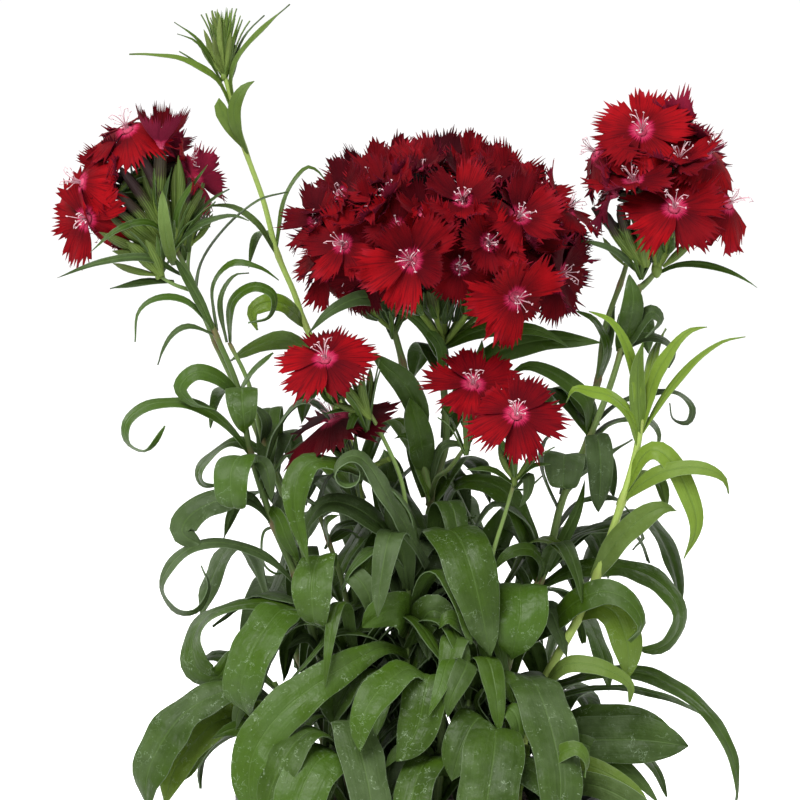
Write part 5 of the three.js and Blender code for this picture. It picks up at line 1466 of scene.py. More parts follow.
        leaves="""
    8 50: 55 -15 165, 62 -18 177, 69 -20 184, 76 -21 188.5, 81 -20 188; 7 50: 65 -14 193, 70 -17 204,
    75 -19 206, 80 -21 201, 84 -22 193, 87 -22 183, 85 -21 171; 5.5 35: 64 -14 190, 73 -21 198, 81 -24 201,
    89 -25 201, 95 -25 198, 97 -24 193; 5.2 35: 69 -13 207, 66 -17 217, 60 -20 223, 53 -21 225, 48 -22 226,
    45 -22 222; 6 0: 69 -13 210, 68 -17 224, 68 -21 235, 69 -26 241; 5 40: 70 -13 213, 73 -16 227,
    78 -18 237, 84 -19 244, 89.5 -19 246; 3.2 35: 70 -13 211, 77 -15 223, 86 -17 234, 94 -18 240,
    102 -18 242; 4.2 35: 69 -13 213, 68 -18 227, 65 -20 238, 60 -21 247, 53 -21 251; 6.5 0: 70 -12 212,
    72 -4 225, 75 3 236, 78 9 243; 10.5 55: 51 -16 153, 56 -21 157, 61 -23 155, 64 -24 149, 65.5 -24 142,
    65 -23 134; 6 35: 38 -18 129, 45 -24 138, 53 -27 139, 60 -28 137, 66 -28 133, 67 -27 127; 8 0:
    63 -13 188, 70 -5 197, 76 2 195, 80 6 185""",
    ),
    "stem_low_left": read_plan(
        stalks="""
    1.3 0.85: -5 -18 60, -5 -18 88, -5 -19 120, -4 -20 150 1, -4 -22 175 1, -6 -25 196, -13 -27 213,
    -17 -28 220 1; 0.8 0.8: -13 -27 212, -17 -23 216, -22 -20 217""",
        leaves="""
    13 8 roll=0 twist=76 full=0.42: 0 -22 175, -5 -27 190, -15 -31 199, -26 -34 204, -34 -36 204.5,
    -38.5 -38 199.5, -39.5 -40 191, -38 -41 182, -36 -41 172; 14 40 peak=0.62: -4 -20 141, -12 -30 145,
    -22 -38 141.5, -33 -44 135.5, -42 -48 129, -49 -50 121, -53 -52 112, -53 -53 102, -50 -52 94; 8 40:
    -4 -22 173, -13 -24 183, -22 -24 189, -30 -24 190, -36 -24 184, -38 -24 177; 6 20: -4 -22 174,
    -11 -18 183, -15 -15 193; 12 50: -4 -20 148, -6 -32 157, -12 -36 157, -19 -37 153; 11 50: -4 -20 146,
    2 -30 156, 6 -31 156, 10 -31 151; 3 30: -17 -28 219, -21 -30 218, -24 -31 209; 2.5 30: -17 -28 218,
    -23 -28 220, -30 -28 219; 6 20: -4 -22 176, -9 -24 184, -11 -24 193; 7.5 14 roll=0.2: 2 -24 170,
    -4 -32 182, -10 -40 193, -14 -43 200.5, -18 -44 206, -22 -44 207.2, -26 -44 205, -27 -44 201,
    -24 -44 198, -20 -44 198.4, -18.2 -44 201.6, -19.8 -44 204.6""",
        buds="""
    -17 -28 219: 1.6 -28 -31 229, 1.5 -27 -29 222, 1.6 -16 -27 233; -17 -27 218: 1.3 -14 -22 229;
    -17 -28 219: 1.4 -22 -26 229; -16 -29 217: 2.6 -25 -34 229 0.1, 2 -19 -33 230 0.1""",
        knobs=((-17, -28, 219, 2.4), (-22, -20, 217, 2)),
    ),
    "stem_low_right": read_plan(
        stalks="""
    1.3 0.8: 15 -24 60, 15 -24 88, 15 -25 120, 17 -26 148 1, 22 -29 173, 26 -31 187, 29 -33 198 1""",
        leaves="""
    4 40: 29 -33 196, 33 -36 200, 33 -37 195, 31 -37 190; 7 20: 17 -26 147, 12 -36 154, 8 -39 156,
    5 -40 153; 10 30: 15 -25 120, 22 -32 134, 27 -36 135, 29 -38 128; 2.5 30: 29 -33 197, 22 -35 202,
    14 -36 202; 2.5 30: 29 -33 198, 34 -35 203, 40 -36 204; 2 30: 28 -32 195, 33 -30 195, 38 -29 199""",
        buds="29 -33 198: 1.6 36 -33 209, 1.5 24 -33 210",
        knobs=((29, -33, 198, 2.2),),
    ),
    "shoot_left_inner": read_plan(
        stalks="1.5 1: -17 -20 60, -17 -20 88, -20 -20 130, -24 -20 160, -29.5 -20 178 1, -33 -20 188 1",
        leaves="""
    12.5 0 roll=1.3: -29 -20 170, -32 -30 174, -34 -38 168, -34 -41 158, -34 -40 148; 5 35: -29 -20 177,
    -23 -15 180, -18 -14 176; 7 20: -33 -20 188, -39 -23 194, -38 -25 201; 7 30: -25 -20 163, -22 -28 168,
    -17 -31 163, -15 -31 153; 5 30: -33 -20 187, -30 -14 196, -26 -12 199; 4 30: -29.5 -20 176, -30 -25 184,
    -26 -28 187""",
    ),
    "shoot_front_left": read_plan(
        stalks="2 1.6: -21 -38 60, -21 -38 88, -23 -39 106 1, -24 -39 122 1",
        leaves="""
    14 0: -24 -39 119, -23 -47 125, -20 -55 120, -17 -61 110, -15 -66 98, -15 -67 84; 17 20: -23 -39 106,
    -27 -48 115, -33 -57 113, -38 -63 103, -41 -66 90; 13 10: -24 -39 114, -33 -47 122, -40 -54 118,
    -46 -58 107, -49 -60 96; 9 30: -24 -39 120, -28 -35 128, -31 -31 133, -36 -29 134; 8 20: -24 -39 121,
    -20 -34 130, -14 -32 131, -10 -33 125""",
    ),
    "shoot_front": read_plan(
        stalks="2 1.5: 4 -38 60, 4 -38 88, 6 -38 110, 7 -38 134 1, 10 -38 144 1",
        leaves="""
    11 30: 7 -38 132, -3 -46 141, -10 -54 139, -16 -60 133, -19 -62 126, -19.5 -62 118; 14 0: 7 -38 130,
    3 -45 139, 1 -51 134, -1 -54 125, -4 -56 119, -8 -56 114; 5 10: 10 -38 143, 8 -46 143, 5.5 -53 136,
    2 -56 128; 7 10: 10 -38 142, 14 -45 143, 12 -51 139, 9 -54 133, 8 -54 127; 6 30: 8 -38 136, 13 -35 142,
    18 -35 140, 21 -36 134; 6 40: 6 -38 108, 0 -46 116, -7 -50 116, -12 -51 111; 13 0: 6 -38 106, 3 -48 114,
    -1 -57 110, -4 -64 99, -5 -67 87""",
    ),
    "shoot_front_right": read_plan(
        stalks="2 1.6: 21 -40 60, 21 -40 88, 23 -40 106 1, 23 -40 121 1",
        leaves="""
    13 20: 23 -40 120, 18 -48 126, 13 -54 120, 9 -57 108; 19 0: 23 -40 116, 23 -50 123, 22 -60 116,
    20 -66 104, 19 -68 92, 18 -67 80; 7 30: 23 -40 121, 27 -44 128, 30 -46 124, 30 -47 116; 5 30:
    23 -40 119, 17 -37 128, 19 -36 133; 12 20: 23 -40 104, 31 -47 110, 39 -52 106, 46 -55 97;
    6 30 roll=0.5 youth=0.1: 30 -44 106, 40 -52 114, 47 -55 118, 51 -56 115, 52 -56 109; 8 50 youth=0.1:
    38 -28 100, 52 -42 104, 66 -49 99, 82 -51 86; 7 45: 34 -24 98, 46 -46 98, 58 -56 94, 74 -58 84""",
    ),
    "shoot_left": read_plan(
        stalks="2 1.5: -37 -6 60, -37 -6 88, -41 -7 108 1, -45 -8 124 1, -47 -8 130",
        leaves="""
    15 30 peak=0.64: -46 -9 122, -56 -15 129, -66 -19 127.5, -76 -22 121.5, -83 -24 112, -87 -24 102,
    -87 -24 92; 11 20: -46 -8 128, -58 -2 136, -68 0 137, -71 0 130, -69 0 121; 14 45 youth=0.25 peak=0.6:
    -45 -8 121, -56 -8 124, -66 -9 118, -73 -10 110, -80 -11 101, -82 -11 95; 12 20: -41 -6 108, -54 3 113,
    -64 4 109, -71 4 102, -73 4 93; 7 30: -41 -8 110, -52 -22 117, -60 -25 118, -66 -26 115; 6 30:
    -45 -9 122, -52 -20 129, -57 -24 125, -60 -25 116; 11 40 youth=0.45: -46 -6 113, -57 -10 119,
    -67 -14 117, -77 -16 106, -84 -16 92""",
    ),
    "shoot_right_low": read_plan(
        stalks="2.1 1.6: 37 2 60, 37 2 88, 40 2 108 1, 42 2 124 1, 43 2 130",
        leaves="""
    6.5 30: 43 2 127, 57 -3 132, 70 -5 132.5, 82 -7 128, 92 -8 120, 99 -9 109, 102.5 -9 97, 102.5 -9 85;
    5 30: 42 2 123, 56 4 126, 69 4 125.5, 81 3 122.5, 91 2 118, 97 2 112; 15.5 14 full=1.2: 41 1 108,
    50 -8 111, 61 -14 112.5, 73 -18 113, 85 -20 111.5; 6 30: 40 1 108, 50 -10 111, 59 -13 107, 67 -14 102,
    77 -15 92; 8 30: 41 3 108, 54 6 110, 66 6 108, 75 6 101, 81 6 90; 6 30 youth=0.35: 39 0 103, 48 -16 106,
    58 -24 104, 68 -27 98, 74 -28 88; 10 0: 41 3 112, 48 14 122, 55 25 119, 59 33 106; 11 38 full=1.1:
    42 5 112, 52 -2 116, 63 -8 117.5, 73 -12 116.5, 81 -14 114.5""",
    ),
}

# florets as x, y, z, facing x, y, z, radius, cup, spin, unrest, painted shade
HEAD_ROWS = {
    "head_left": (
        (-92.5, -14, 307.5, -0.36, -0.50, 0.79, 18, -0.40, 36, 0.9, 0.00),
        (-89, -3, 304.5, -0.1, 0.40, 0.9, 12, 0.10, 40, 1.0, 0.25),
        (-81.5, -20, 302.5, 0.04, -0.24, 0.97, 14.5, 0.98, 18, 0.45, 0.85),
        (-75, -9, 296, 0.80, 0.25, 0.35, 15, -0.05, 20, 1.3, 0.05),
        (-107.5, -15, 290.5, -0.88, -0.38, 0.28, 15.5, -0.50, 55, 1.3, 0.00),
        (-105.5, -17, 279, -0.50, -0.85, 0.00, 17, -0.25, 5, 1.4, 0.03),
        (-100, -6, 275, -0.75, 0.15, -0.45, 14, -0.10, 30, 1.3, 0.30),
        (-85, 8, 300, -0.2, 0.8, 0.6, 14, 0.10, 15, 1.2, 0.20),
        (-72, 8, 290, 0.5, 0.8, 0.3, 13, 0.10, 50, 1.2, 0.20),
        (-97, -13, 293, -0.55, -0.60, 0.35, 13, 0.45, 33, 1.4, 0.40),
    ),
    "head_right": (
        (69.5, -9, 306.5, -0.05, -0.84, 0.54, 18, 0.10, 2, 0.9, 0.00),
        (83, -2, 306, 0.50, 0.35, 0.70, 15, 0.20, 25, 1.3, 0.10),
        (90.5, -11, 299.5, 0.45, -0.62, 0.62, 17.5, -0.40, 48, 1.3, 0.00),
        (81, -13, 297, 0.15, -0.45, 0.88, 15.5, 0.45, 12, 1.4, 0.05),
        (54.5, -9, 300, -0.80, -0.36, 0.40, 16.5, -0.35, 10, 1.4, 0.05),
        (79, -23, 283, 0.03, -0.76, 0.64, 18.5, -0.08, 20, 1.4, 0.00),
        (97, -15, 284, 0.58, -0.62, 0.45, 18, -0.60, 46, 1.3, 0.00),
        (85, 10, 297, 0.35, 0.75, 0.50, 15, 0.10, 48, 1.2, 0.10),
        (65, 7, 297, -0.70, 0.60, 0.40, 14, 0.10, 5, 1.2, 0.10),
        (66.5, -16, 291, -0.30, -0.52, 0.80, 16, 0.35, 33, 1.4, 0.02),
        (60, -12, 286.5, -0.72, -0.05, 0.15, 13.5, 0.35, 20, 1.3, 0.10),
    ),
    "bloom_low_left": ((-30, -37, 237, -0.15, -0.62, 0.78, 17.5, -0.05, 15, 0.8, 0.05),),
    "bloom_low_left_rear": ((-28, -18, 216.5, -0.42, -0.25, 0.87, 23, -0.25, 50, 0.7, 0.80),),
    "bloom_low_right": ((16, -36, 229, 0, -0.6, 0.8, 17, -0.05, 30, 1.2, 0.05),),
    "bloom_low_right_front": ((29, -50, 221, 0.05, -0.75, 0.65, 17.5, -0.08, 0, 1.1, 0.05),),
}

# the stem and the knot that carry the florets of each head or bloom
CARRIERS = {
    "head_left": ("stem_left", (-78, -10, 270)),
    "head_right": ("stem_right", (75, -2, 262)),
    "bloom_low_left": ("stem_low_left", (-17, -28, 219)),
    "bloom_low_left_rear": ("stem_low_left", (-10, -25, 204)),
    "bloom_low_right": ("stem_centre", (14, -31, 209)),
    "bloom_low_right_front": ("stem_low_right", (29, -33, 198)),
}

# youth with painted light, blush and undergrowth of each stem that differs from the rest
HABITS = {
    "stem_left": (0.0, 0.15, 7),
    "stem_tall": (0.50, 0.0, 5),
    "stem_centre": (0.0, 0.40, 16),
    "stem_right": (0.0, 0.40, 8),
    "shoot_right": (0.80, 0.0, 2),
    "stem_low_left": (0.05, 0.15, 14),
    "stem_low_right": (0.05, 0.15, 14),
    "shoot_left_inner": (0.05, 0.30, 10),
    "shoot_front": (0.0, 0.15, 8),
    "shoot_front_left": (0.0, 0.15, 8),
    "shoot_front_right": (0.0, 0.15, 8),
    "shoot_back_left": (0.05, 0.1, 8),
    "shoot_back": (0.0, 0.1, 10),
    "shoot_back_right": (0.0, 0.1, 8),
}

# tufts of awl-shaped bracts: where they spring from, how many, and how far they spread
AWLS = {
    "stem_tall": (((-63.3, 20, 321.5), 50, 0.36),),
    "stem_left": (
        ((-78, -9.5, 268), 16, 0.75), ((-82.5, -13.5, 260.5), 12, 0.8), ((-74, -6.5, 268), 18, 0.55),
        ((-76, 0, 264), 6, 0.5), ((-79, -11, 268), 8, 0.95),
    ),
    "stem_right": (((75, -2, 262), 12, 0.75), ((70, -3, 259), 12, 0.75), ((66, 4, 263), 6, 0.7)),
    "stem_low_left": (((-17, -28, 213), 9, 0.7),),
    "stem_low_right": (((29, -33, 196), 7, 0.7),),
    "stem_centre": (((7, 1, 236), 6, 0.5), ((-9, -3, 240), 8, 0.8), ((14, -31, 206), 6, 0.7)),
}


# ---------------------------------------------------------------- pot and soil


@dataclass(frozen=True)
class Pot:
    """A round tapered nursery pot with a rolled rim band and holes in its floor; sizes in millimetres."""

    height: float = 95.0
    rim_radius: float = 60.0
    rim_band: float = 9.0
    rim_step: float = 2.5
    base_radius: float = 44.0
    wall: float = 1.6
    floor: float = 2.4
    lip: float = 1.0
    drain_radius: float = 4.0
    drain_circle: float = 30.0
    drain_holes: int = 4
    sides: int = 96
    bevel: float = 0.6
    corner: float = 0.5

    def radius(self, z: float) -> float:
        """Outer radius of the body at height z, below its rim band."""
        top = self.rim_radius - self.rim_step
        return self.base_radius + (top - self.base_radius) * z / (self.height - self.rim_band)

    def _shell(self) -> bpy.types.Object:
        """The pot's turned shell, without its holes, in metres."""
        foot, rim, base = self.height - self.rim_band, self.rim_radius, self.base_radius
        profile = (
            (0, 0), (base, 0), (self.radius(foot), foot), (rim, foot + self.lip), (rim, self.height),
            (rim - self.wall - self.lip, self.height), (self.radius(foot) - self.wall, foot - 2 * self.lip),
            (base - self.wall, self.floor), (0, self.floor),
        )
        bm = lathe(profile, self.sides, MM)
        bmesh.ops.recalc_face_normals(bm, faces=bm.faces[:])
        corners = [edge for edge in bm.edges if edge.is_manifold and edge.calc_face_angle(0.0) > self.corner]
        bmesh.ops.bevel(
            bm, geom=corners, offset=self.bevel * MM, offset_type="OFFSET", segments=3, profile=0.5,
            affect="EDGES", material=-1,
        )
        return in_scene("pot_shell", baked(bm, "pot_shell"))

    def _drills(self) -> bpy.types.Object:
        """Cylinders where the drain holes go."""
        bm = bmesh.new()
        for i in range(self.drain_holes):
            angle = (i + 0.5) / self.drain_holes * 2 * math.pi
            out, radius = self.drain_circle * MM, self.drain_radius * MM
            bmesh.ops.create_cone(
                bm, cap_ends=True, segments=24, radius1=radius, radius2=radius, depth=4 * self.floor * MM,
                matrix=Matrix.Translation((out * math.cos(angle), out * math.sin(angle), 0)),
            )
        return in_scene("drills", baked(bm, "drills"))

    def build(self) -> None:
        """Adds the pot to the scene."""
        shell, drills = self._shell(), self._drills()
        cut = shell.modifiers.new("drain_holes", "BOOLEAN")
        cut.operation, cut.solver, cut.object = "DIFFERENCE", "EXACT", drills
        bpy.context.view_layer.update()
        made = shell.evaluated_get(bpy.context.evaluated_depsgraph_get())
        mesh = bpy.data.meshes.new_from_object(made)
        for spare in (shell, drills):
            bpy.data.objects.remove(spare)
        bm = opened(mesh)
        soften(bm, 0.6)
        bm.to_mesh(mesh)
        bm.free()
        mesh.materials.clear()
        mesh.materials.append(PotFinish().material())
        settle(mesh, "pot_shell_fine", ["pot"])


@dataclass(frozen=True)
class Soil:
    """The filled root ball with a lumpy, crumbly top; sizes in millimetres."""

    pot: Pot = Pot()
    top: float = 84.0
    lump: float = 1.6
    side_gap: float = 0.55
    clear: float = 0.3
    rings: int = 34
    sides: int = 84
    crumbs: int = 260
    seed: int = 31

    def _height(self, x: float, y: float) -> float:
        """Height of the top at a place, without its crumbs."""
        lump = math.sin(0.31 * x + 1.3) * math.cos(0.27 * y) + 0.6 * math.sin(0.53 * x - 0.61 * y)
        fine = noise.noise(Vector((x * 0.22, y * 0.22, 3.0)))
        fine += 0.6 * noise.noise(Vector((x * 0.7, y * 0.7, 9.0)))
        return self.top + self.lump * lump * (1 - math.hypot(x, y) / 90) * 0.7 + 0.9 * fine

    def build(self) -> None:
        """Adds the soil to the scene."""
        gap = self.pot.wall + self.side_gap
        bottom = self.pot.floor + self.clear
        outer = self.pot.radius(self.top) - gap
        profile = [(0.0, bottom), (self.pot.base_radius - gap - self.side_gap, bottom), (outer, self.top - 1)]
        profile += [(outer * i / self.rings, self.top) for i in range(self.rings - 1, -1, -1)]
        bm = lathe(profile, self.sides)
        for vert in bm.verts:
            if vert.co.z > self.top - 0.5:
                vert.co.z = self._height(vert.co.x, vert.co.y)
        dice = random.Random(self.seed)
        for _ in range(self.crumbs):
            self._crumb(bm, dice, outer - 3)
        bmesh.ops.recalc_face_normals(bm, faces=bm.faces[:])
        bmesh.ops.transform(bm, matrix=Matrix.Scale(MM, 4), verts=bm.verts[:])
        mesh = baked(bm, "soil_fine")
        mesh.shade_smooth()
        mesh.materials.append(SoilFinish().material())
        settle(mesh, "root_ball_fine", ["soil"])

    def _crumb(self, bm: bmesh.types.BMesh, dice: random.Random, reach: float) -> None:
        """Adds one crumb, pressed into the top.

        Args:
            bm: the soil.
            dice: seeded chance.
            reach: how far from the middle it may lie.
        """
        angle, out = dice.uniform(0, 6.283), reach * math.sqrt(dice.random())
        x, y, size = out * math.cos(angle), out * math.sin(angle), dice.uniform(0.6, 2.0)
        stretch = Matrix.Diagonal((size * dice.uniform(0.8, 1.5), size, size * dice.uniform(0.5, 0.9), 1))
        turn = Matrix.Rotation(angle * 5, 4, "Z")
        place = Matrix.Translation((x, y, self._height(x, y) + 0.2)) @ turn @ stretch
        made = bmesh.ops.create_icosphere(bm, subdivisions=1, radius=1.0, matrix=place)
        for vert in made["verts"]:
            vert.co += Vector([dice.uniform(-0.18, 0.18) * size for _ in range(3)])


# ---------------------------------------------------------------- stems and heads


@dataclass(frozen=True)
class LeafyStem:
    """One stem with everything green on it."""

    name: str  # the node that it stands for
    plan: Plan  # what grows on it
    seed: int  # its own seed
    calyxes: tuple[Calyx, ...] = ()  # the calyxes of the florets that it carries
    youth: float = 0.0  # 1 for bright young growth; partly painted light
    blush: float = 0.15  # how plum-coloured its stalks are
    undergrowth: int = 0  # how many small leaves fill in low down on its main stalk
    # place, number and spread of each tuft of awl-shaped bracts
    awls: tuple[tuple[Point, int, float], ...] = ()

    KNOB = np.array([0.5, 0.5, 0.8])  # radii of a knob, in its planned radius
    # where a small leaf springs, as a share of the stalk, and its length, lift, droop and width
    LOW, LONG, LIFT, DROOP, WIDE = (0.14, 0.66), (24, 46), (0.7, 1.8), (0.1, 0.5), (5, 11)
    INSIDE = (54, 50, 88)  # a small leaf ends within these x and y, and above this height
    AWL_TURN = 2.4  # radians from one awl to the next
    AWL_LONG, AWL_WIDE = (15, 24), (1.1, 2.0)

    def build(self, finishes: Sequence[bpy.types.Material]) -> None:
        """Adds the stem to the scene.

        Args:
            finishes: leaf, stalk and calyx.
        """
        piece = Piece(f"{self.name}_fine", finishes)
        growth = Growth(piece, random.Random(self.seed), self.youth, self.blush)
        for shape in (*self.plan.stalks, *self.plan.leaves):
            shape.grow(growth)
        for x, y, z, radius in self.plan.knobs:
            stock = bead(2)
            points = stock.grid * radius * self.KNOB + np.array((x, y, z))
            piece.add(stock, points, (0.3,) * 4, (0.5, 0.0, 0.0, self.youth), GreenPart.CALYX)
        for shape in (*self.plan.buds, *self.calyxes):
            shape.grow(growth)
        self._undergrowth(growth)
        for place, number, spread in self.awls:
            self._awls(growth, place, number, spread)
        slot = Slot.YOUNG_FOLIAGE if self.youth > 0.5 else Slot.FOLIAGE
        piece.close(slot, [self.name])

    def _undergrowth(self, growth: Growth) -> None:
        """Adds small leaves low down, in pairs that spring from the main stalk."""
        main = Spline(self.plan.stalks[0].points)
        for _ in range(self.undergrowth):
            share = growth.dice.uniform(*self.LOW)
            root = main.places(np.array([share]))[0]
            heading = growth.dice.uniform(0, TURN)
            for half in (0, 1):
                angle = heading + half * math.pi + growth.around(0, 0.4)
                length, lift = growth.dice.uniform(*self.LONG), growth.dice.uniform(*self.LIFT)
                course = arch(root, angle, length, lift, growth.dice.uniform(*self.DROOP))
                (x, y, z), (far, deep, low) = course[-1], self.INSIDE
                if abs(x) < far and abs(y) < deep and z > low:
                    Leaf(growth.dice.uniform(*self.WIDE), 0, course).grow(growth)

    def _awls(self, growth: Growth, place: Point, number: int, spread: float) -> None:
        """Adds a tuft of slim upright bracts.

        Args:
            growth: where they grow.
            place: where they spring from.
            number: how many there are.
            spread: how far the outermost lean out, in radians.
        """
        root = np.array(place, float)
        for i in range(number):
            angle = self.AWL_TURN * i + growth.around(0, 0.3)
            tilt = spread * growth.dice.uniform(0.05, 1.0)
            away, up = math.sin(tilt), math.cos(tilt)
            out = np.array([math.cos(angle) * away, math.sin(angle) * away, up])
            length = growth.dice.uniform(*self.AWL_LONG)
            middle = root + out * length * 0.5 + np.array([0, 0, 1.2])
            tip = root + out * length + np.array([0, 0, -2.0 * tilt])
            width = growth.dice.uniform(*self.AWL_WIDE)
            # painted light: awls are brightened so that the thin blades don't look shaded
            youth = growth.dice.uniform(0.0, 0.3) + 1.3 * growth.youth
            Leaf(width, 0, (tuple(root), tuple(middle), tuple(tip)), youth=youth).grow(growth)


@dataclass(frozen=True)
class FlowerHead:
    """A head or a single bloom: its florets, and a heart painted dark as shade where it has one."""

    name: str  # the node that it stands for
    florets: tuple[Floret, ...]  # its florets
    seed: int  # its own seed
    nodes: tuple[str, ...]  # the solids that the piece stands for
    heart: tuple[Point, Point] | None = None  # middle and three radii of its heart, if it has one
    cut: PetalCut = PetalCut()  # how its petals are cut

    def build(self, finishes: Sequence[bpy.types.Material]) -> None:
        """Adds the head to the scene.

        Args:
            finishes: petal, thread and heart.
        """
        piece = Piece(f"{self.name}_fine", finishes)
        growth = Growth(piece, random.Random(self.seed))
        for floret in self.florets:
            floret.grow(growth, self.cut)
        if self.heart:
            middle, radii = self.heart
            stock = bead(4)
            points = stock.grid * np.array(radii) + np.array(middle)
            piece.add(stock, points, (0.0,) * 4, (0.5, 0.0, 0.0, 0.0), RedPart.HEART)
        piece.close(Slot.PETALS, list(self.nodes))


@dataclass(frozen=True)
class Dome:
    """The centre head's dome, and where its florets stand out of it; millimetres."""

    centre: Point = (7.0, 0.0, 264.0)
    radii: Point = (40.0, 36.0, 34.0)
    claw: float = 5.0  # depth of the funnels of its florets
    # tops of its right and left branch, where its pedicels spring
    knots: tuple[Point, Point] = ((7.5, 1.0, 238.0), (-9.0, -3.0, 243.0))
    bottom: float = 254.6  # height of its underside
    fillers: int = 150  # how many seats are tried for inner florets
    elbow_room: float = 8.6  # how near to another floret an inner one may sit

    GOLDEN_ANGLE = 2.399963
    PEDICELS = ((7, 20.0), (8, 29.0), (4, 9.0))  # number and spread of each ring of pedicels
    # how deep inner florets sit, their radius, cup and painted shade
    SUNK, SMALL, RUFFLED, DARK = (-4.5, -0.5), (11.5, 13.5), (0.35, 0.8), (0.15, 0.65)
    UNDERSIDE = (262, 254)  # no inner floret sits below these heights, in front and behind
    # middle and radii of the core, a bead painted dark as shade
    HEART = ((7.0, 2.0, 275.0), (30.0, 26.0, 20.0))

    # x, z, stand-out, radius, cup, unrest and painted shade of the florets on its front
    FRONT = (
        (-23, 271, 2.0, 15.5, 0.20, 1.3, 0.12), (-2, 267, 6.0, 18.5, 0.62, 1.9, 0.16),
        (26.5, 257, 6.0, 17.5, 0.15, 1.5, 0.02), (20, 272, 1.5, 14.5, 0.45, 1.4, 0.25),
        (12.5, 284, 2.0, 15.0, 0.55, 1.4, 0.30), (29, 279, 2.5, 15.5, 0.35, 1.4, 0.22),
        (45, 281, 1.5, 15.0, 0.10, 1.3, 0.10), (43, 262, 1.0, 14.5, 0.20, 1.3, 0.50),
        (-10, 286, 0.5, 14.5, 0.55, 1.4, 0.35), (-24, 283, 0.5, 14.0, 0.50, 1.4, 0.40),
        (-32, 268, 0.0, 14.0, 0.30, 1.4, 0.40),
        (12, 265, -2.0, 13.0, 0.15, 1.3, 0.40),
    )
    # x, y, z, radius and painted shade of the florets along its top, whose upper petals stand up
    CROWN = (
        (-33, -10, 278, 13.5, 0.35), (-25, -8, 286, 13.5, 0.25), (-15, -6, 290.5, 13.5, 0.35),
        (-4, -3, 292.5, 14, 0.22), (7, -2, 294, 14, 0.35), (17, -3, 293.5, 13.5, 0.20),
        (27, -5, 290.5, 13.5, 0.35), (36, -7, 285.5, 13.5, 0.25), (43, -9, 277, 13.5, 0.40),
        (-9, 9, 294, 12.5, 0.45), (3, 10, 296, 12.5, 0.40), (15, 9, 295, 12.5, 0.45),
        (26, 8, 291, 12.5, 0.40), (-21, 7, 289, 12.5, 0.40),
    )
    # x, y, z, facing, radius, cup and painted shade of the florets that hang below its edge
    HEM = (
        (-30, -12, 262, -0.60, -0.78, -0.05, 14.0, -0.10, 0.50),
        (-17, -21, 261.5, -0.25, -0.95, -0.05, 13.5, -0.05, 0.60),
        (-24, -14, 258, -0.30, -0.90, -0.30, 12.5, -0.20, 0.70),
        (43, -12, 258, 0.55, -0.80, -0.10, 13.5, -0.10, 0.60),
    )
    BACK = ((-22, 275, 3), (1, 280, 0), (28, 279, 3), (-2, 259, 2), (26, 260, 0))

    def _place(self, point: Sequence[float], lift: float) -> tuple[np.ndarray, np.ndarray]:
        """A place that stands out of the dome, and the way it faces.

        Args:
            point: a point on the dome.
            lift: how far out it stands.

        Returns:
            The place and the unit normal.
        """
        row = np.array(point, float)
        normal = unit((row - np.array(self.centre)) / np.array(self.radii) ** 2)
        return row + normal * lift, normal

    def _depth(self, x: float, z: float) -> float:
        """Half of the dome's depth at a place in front of it."""
        (cx, _, cz), (a, b, c) = self.centre, self.radii
        return b * math.sqrt(max(0.02, 1 - ((x - cx) / a) ** 2 - ((z - cz) / c) ** 2))

    def florets(self) -> tuple[Floret, ...]:
        """The florets that the solid has too."""
        (cx, cy, _), (a, _, _) = self.centre, self.radii
        dice = random.Random(5)
        seats = [((x, cy - self._depth(x, z), z), lift, habit) for x, z, lift, *habit in self.FRONT]
        for x, z, lift in self.BACK:
            habit = (15.5, 0.2, 1.3, dice.uniform(0.1, 0.4))
            seats.append(((x, cy + self._depth(x, z), z), lift, habit))
        made = []
        for number, (point, lift, (radius, cup, unrest, dark)) in enumerate(seats):
            eye, normal = self._place(point, lift)
            sway = 0.0 if lift > 3.5 else 0.22
            swing = [dice.uniform(-sway, sway), dice.uniform(-sway, sway), dice.uniform(0, sway)]
            facing = tuple(unit(normal + np.array(swing)))
            spin = (number * 37) % 72
            made.append(Floret(tuple(eye), facing, radius, cup, spin, self.claw + lift, unrest, dark))
        for number, (x, y, z, radius, dark) in enumerate(self.CROWN):
            sideways = 0.9 * (x - cx) / a + dice.uniform(-0.2, 0.2)
            way = unit((sideways, -0.75 + dice.uniform(-0.15, 0.15), 0.60))
            cup, spin = dice.uniform(0.2, 0.45), (number * 53) % 72
            # florets along the top get more painted shade
            made.append(Floret((x, y, z), tuple(way), radius, cup, spin, self.claw, 1.2, dark + 0.12, 2))
        for number, (*row, radius, cup, dark) in enumerate(self.HEM):
            eye, facing, spin = tuple(row[:3]), tuple(row[3:]), (number * 29) % 72
            made.append(Floret(eye, facing, radius, cup, spin, self.claw, 1.2, dark, 1))
        return tuple(made)

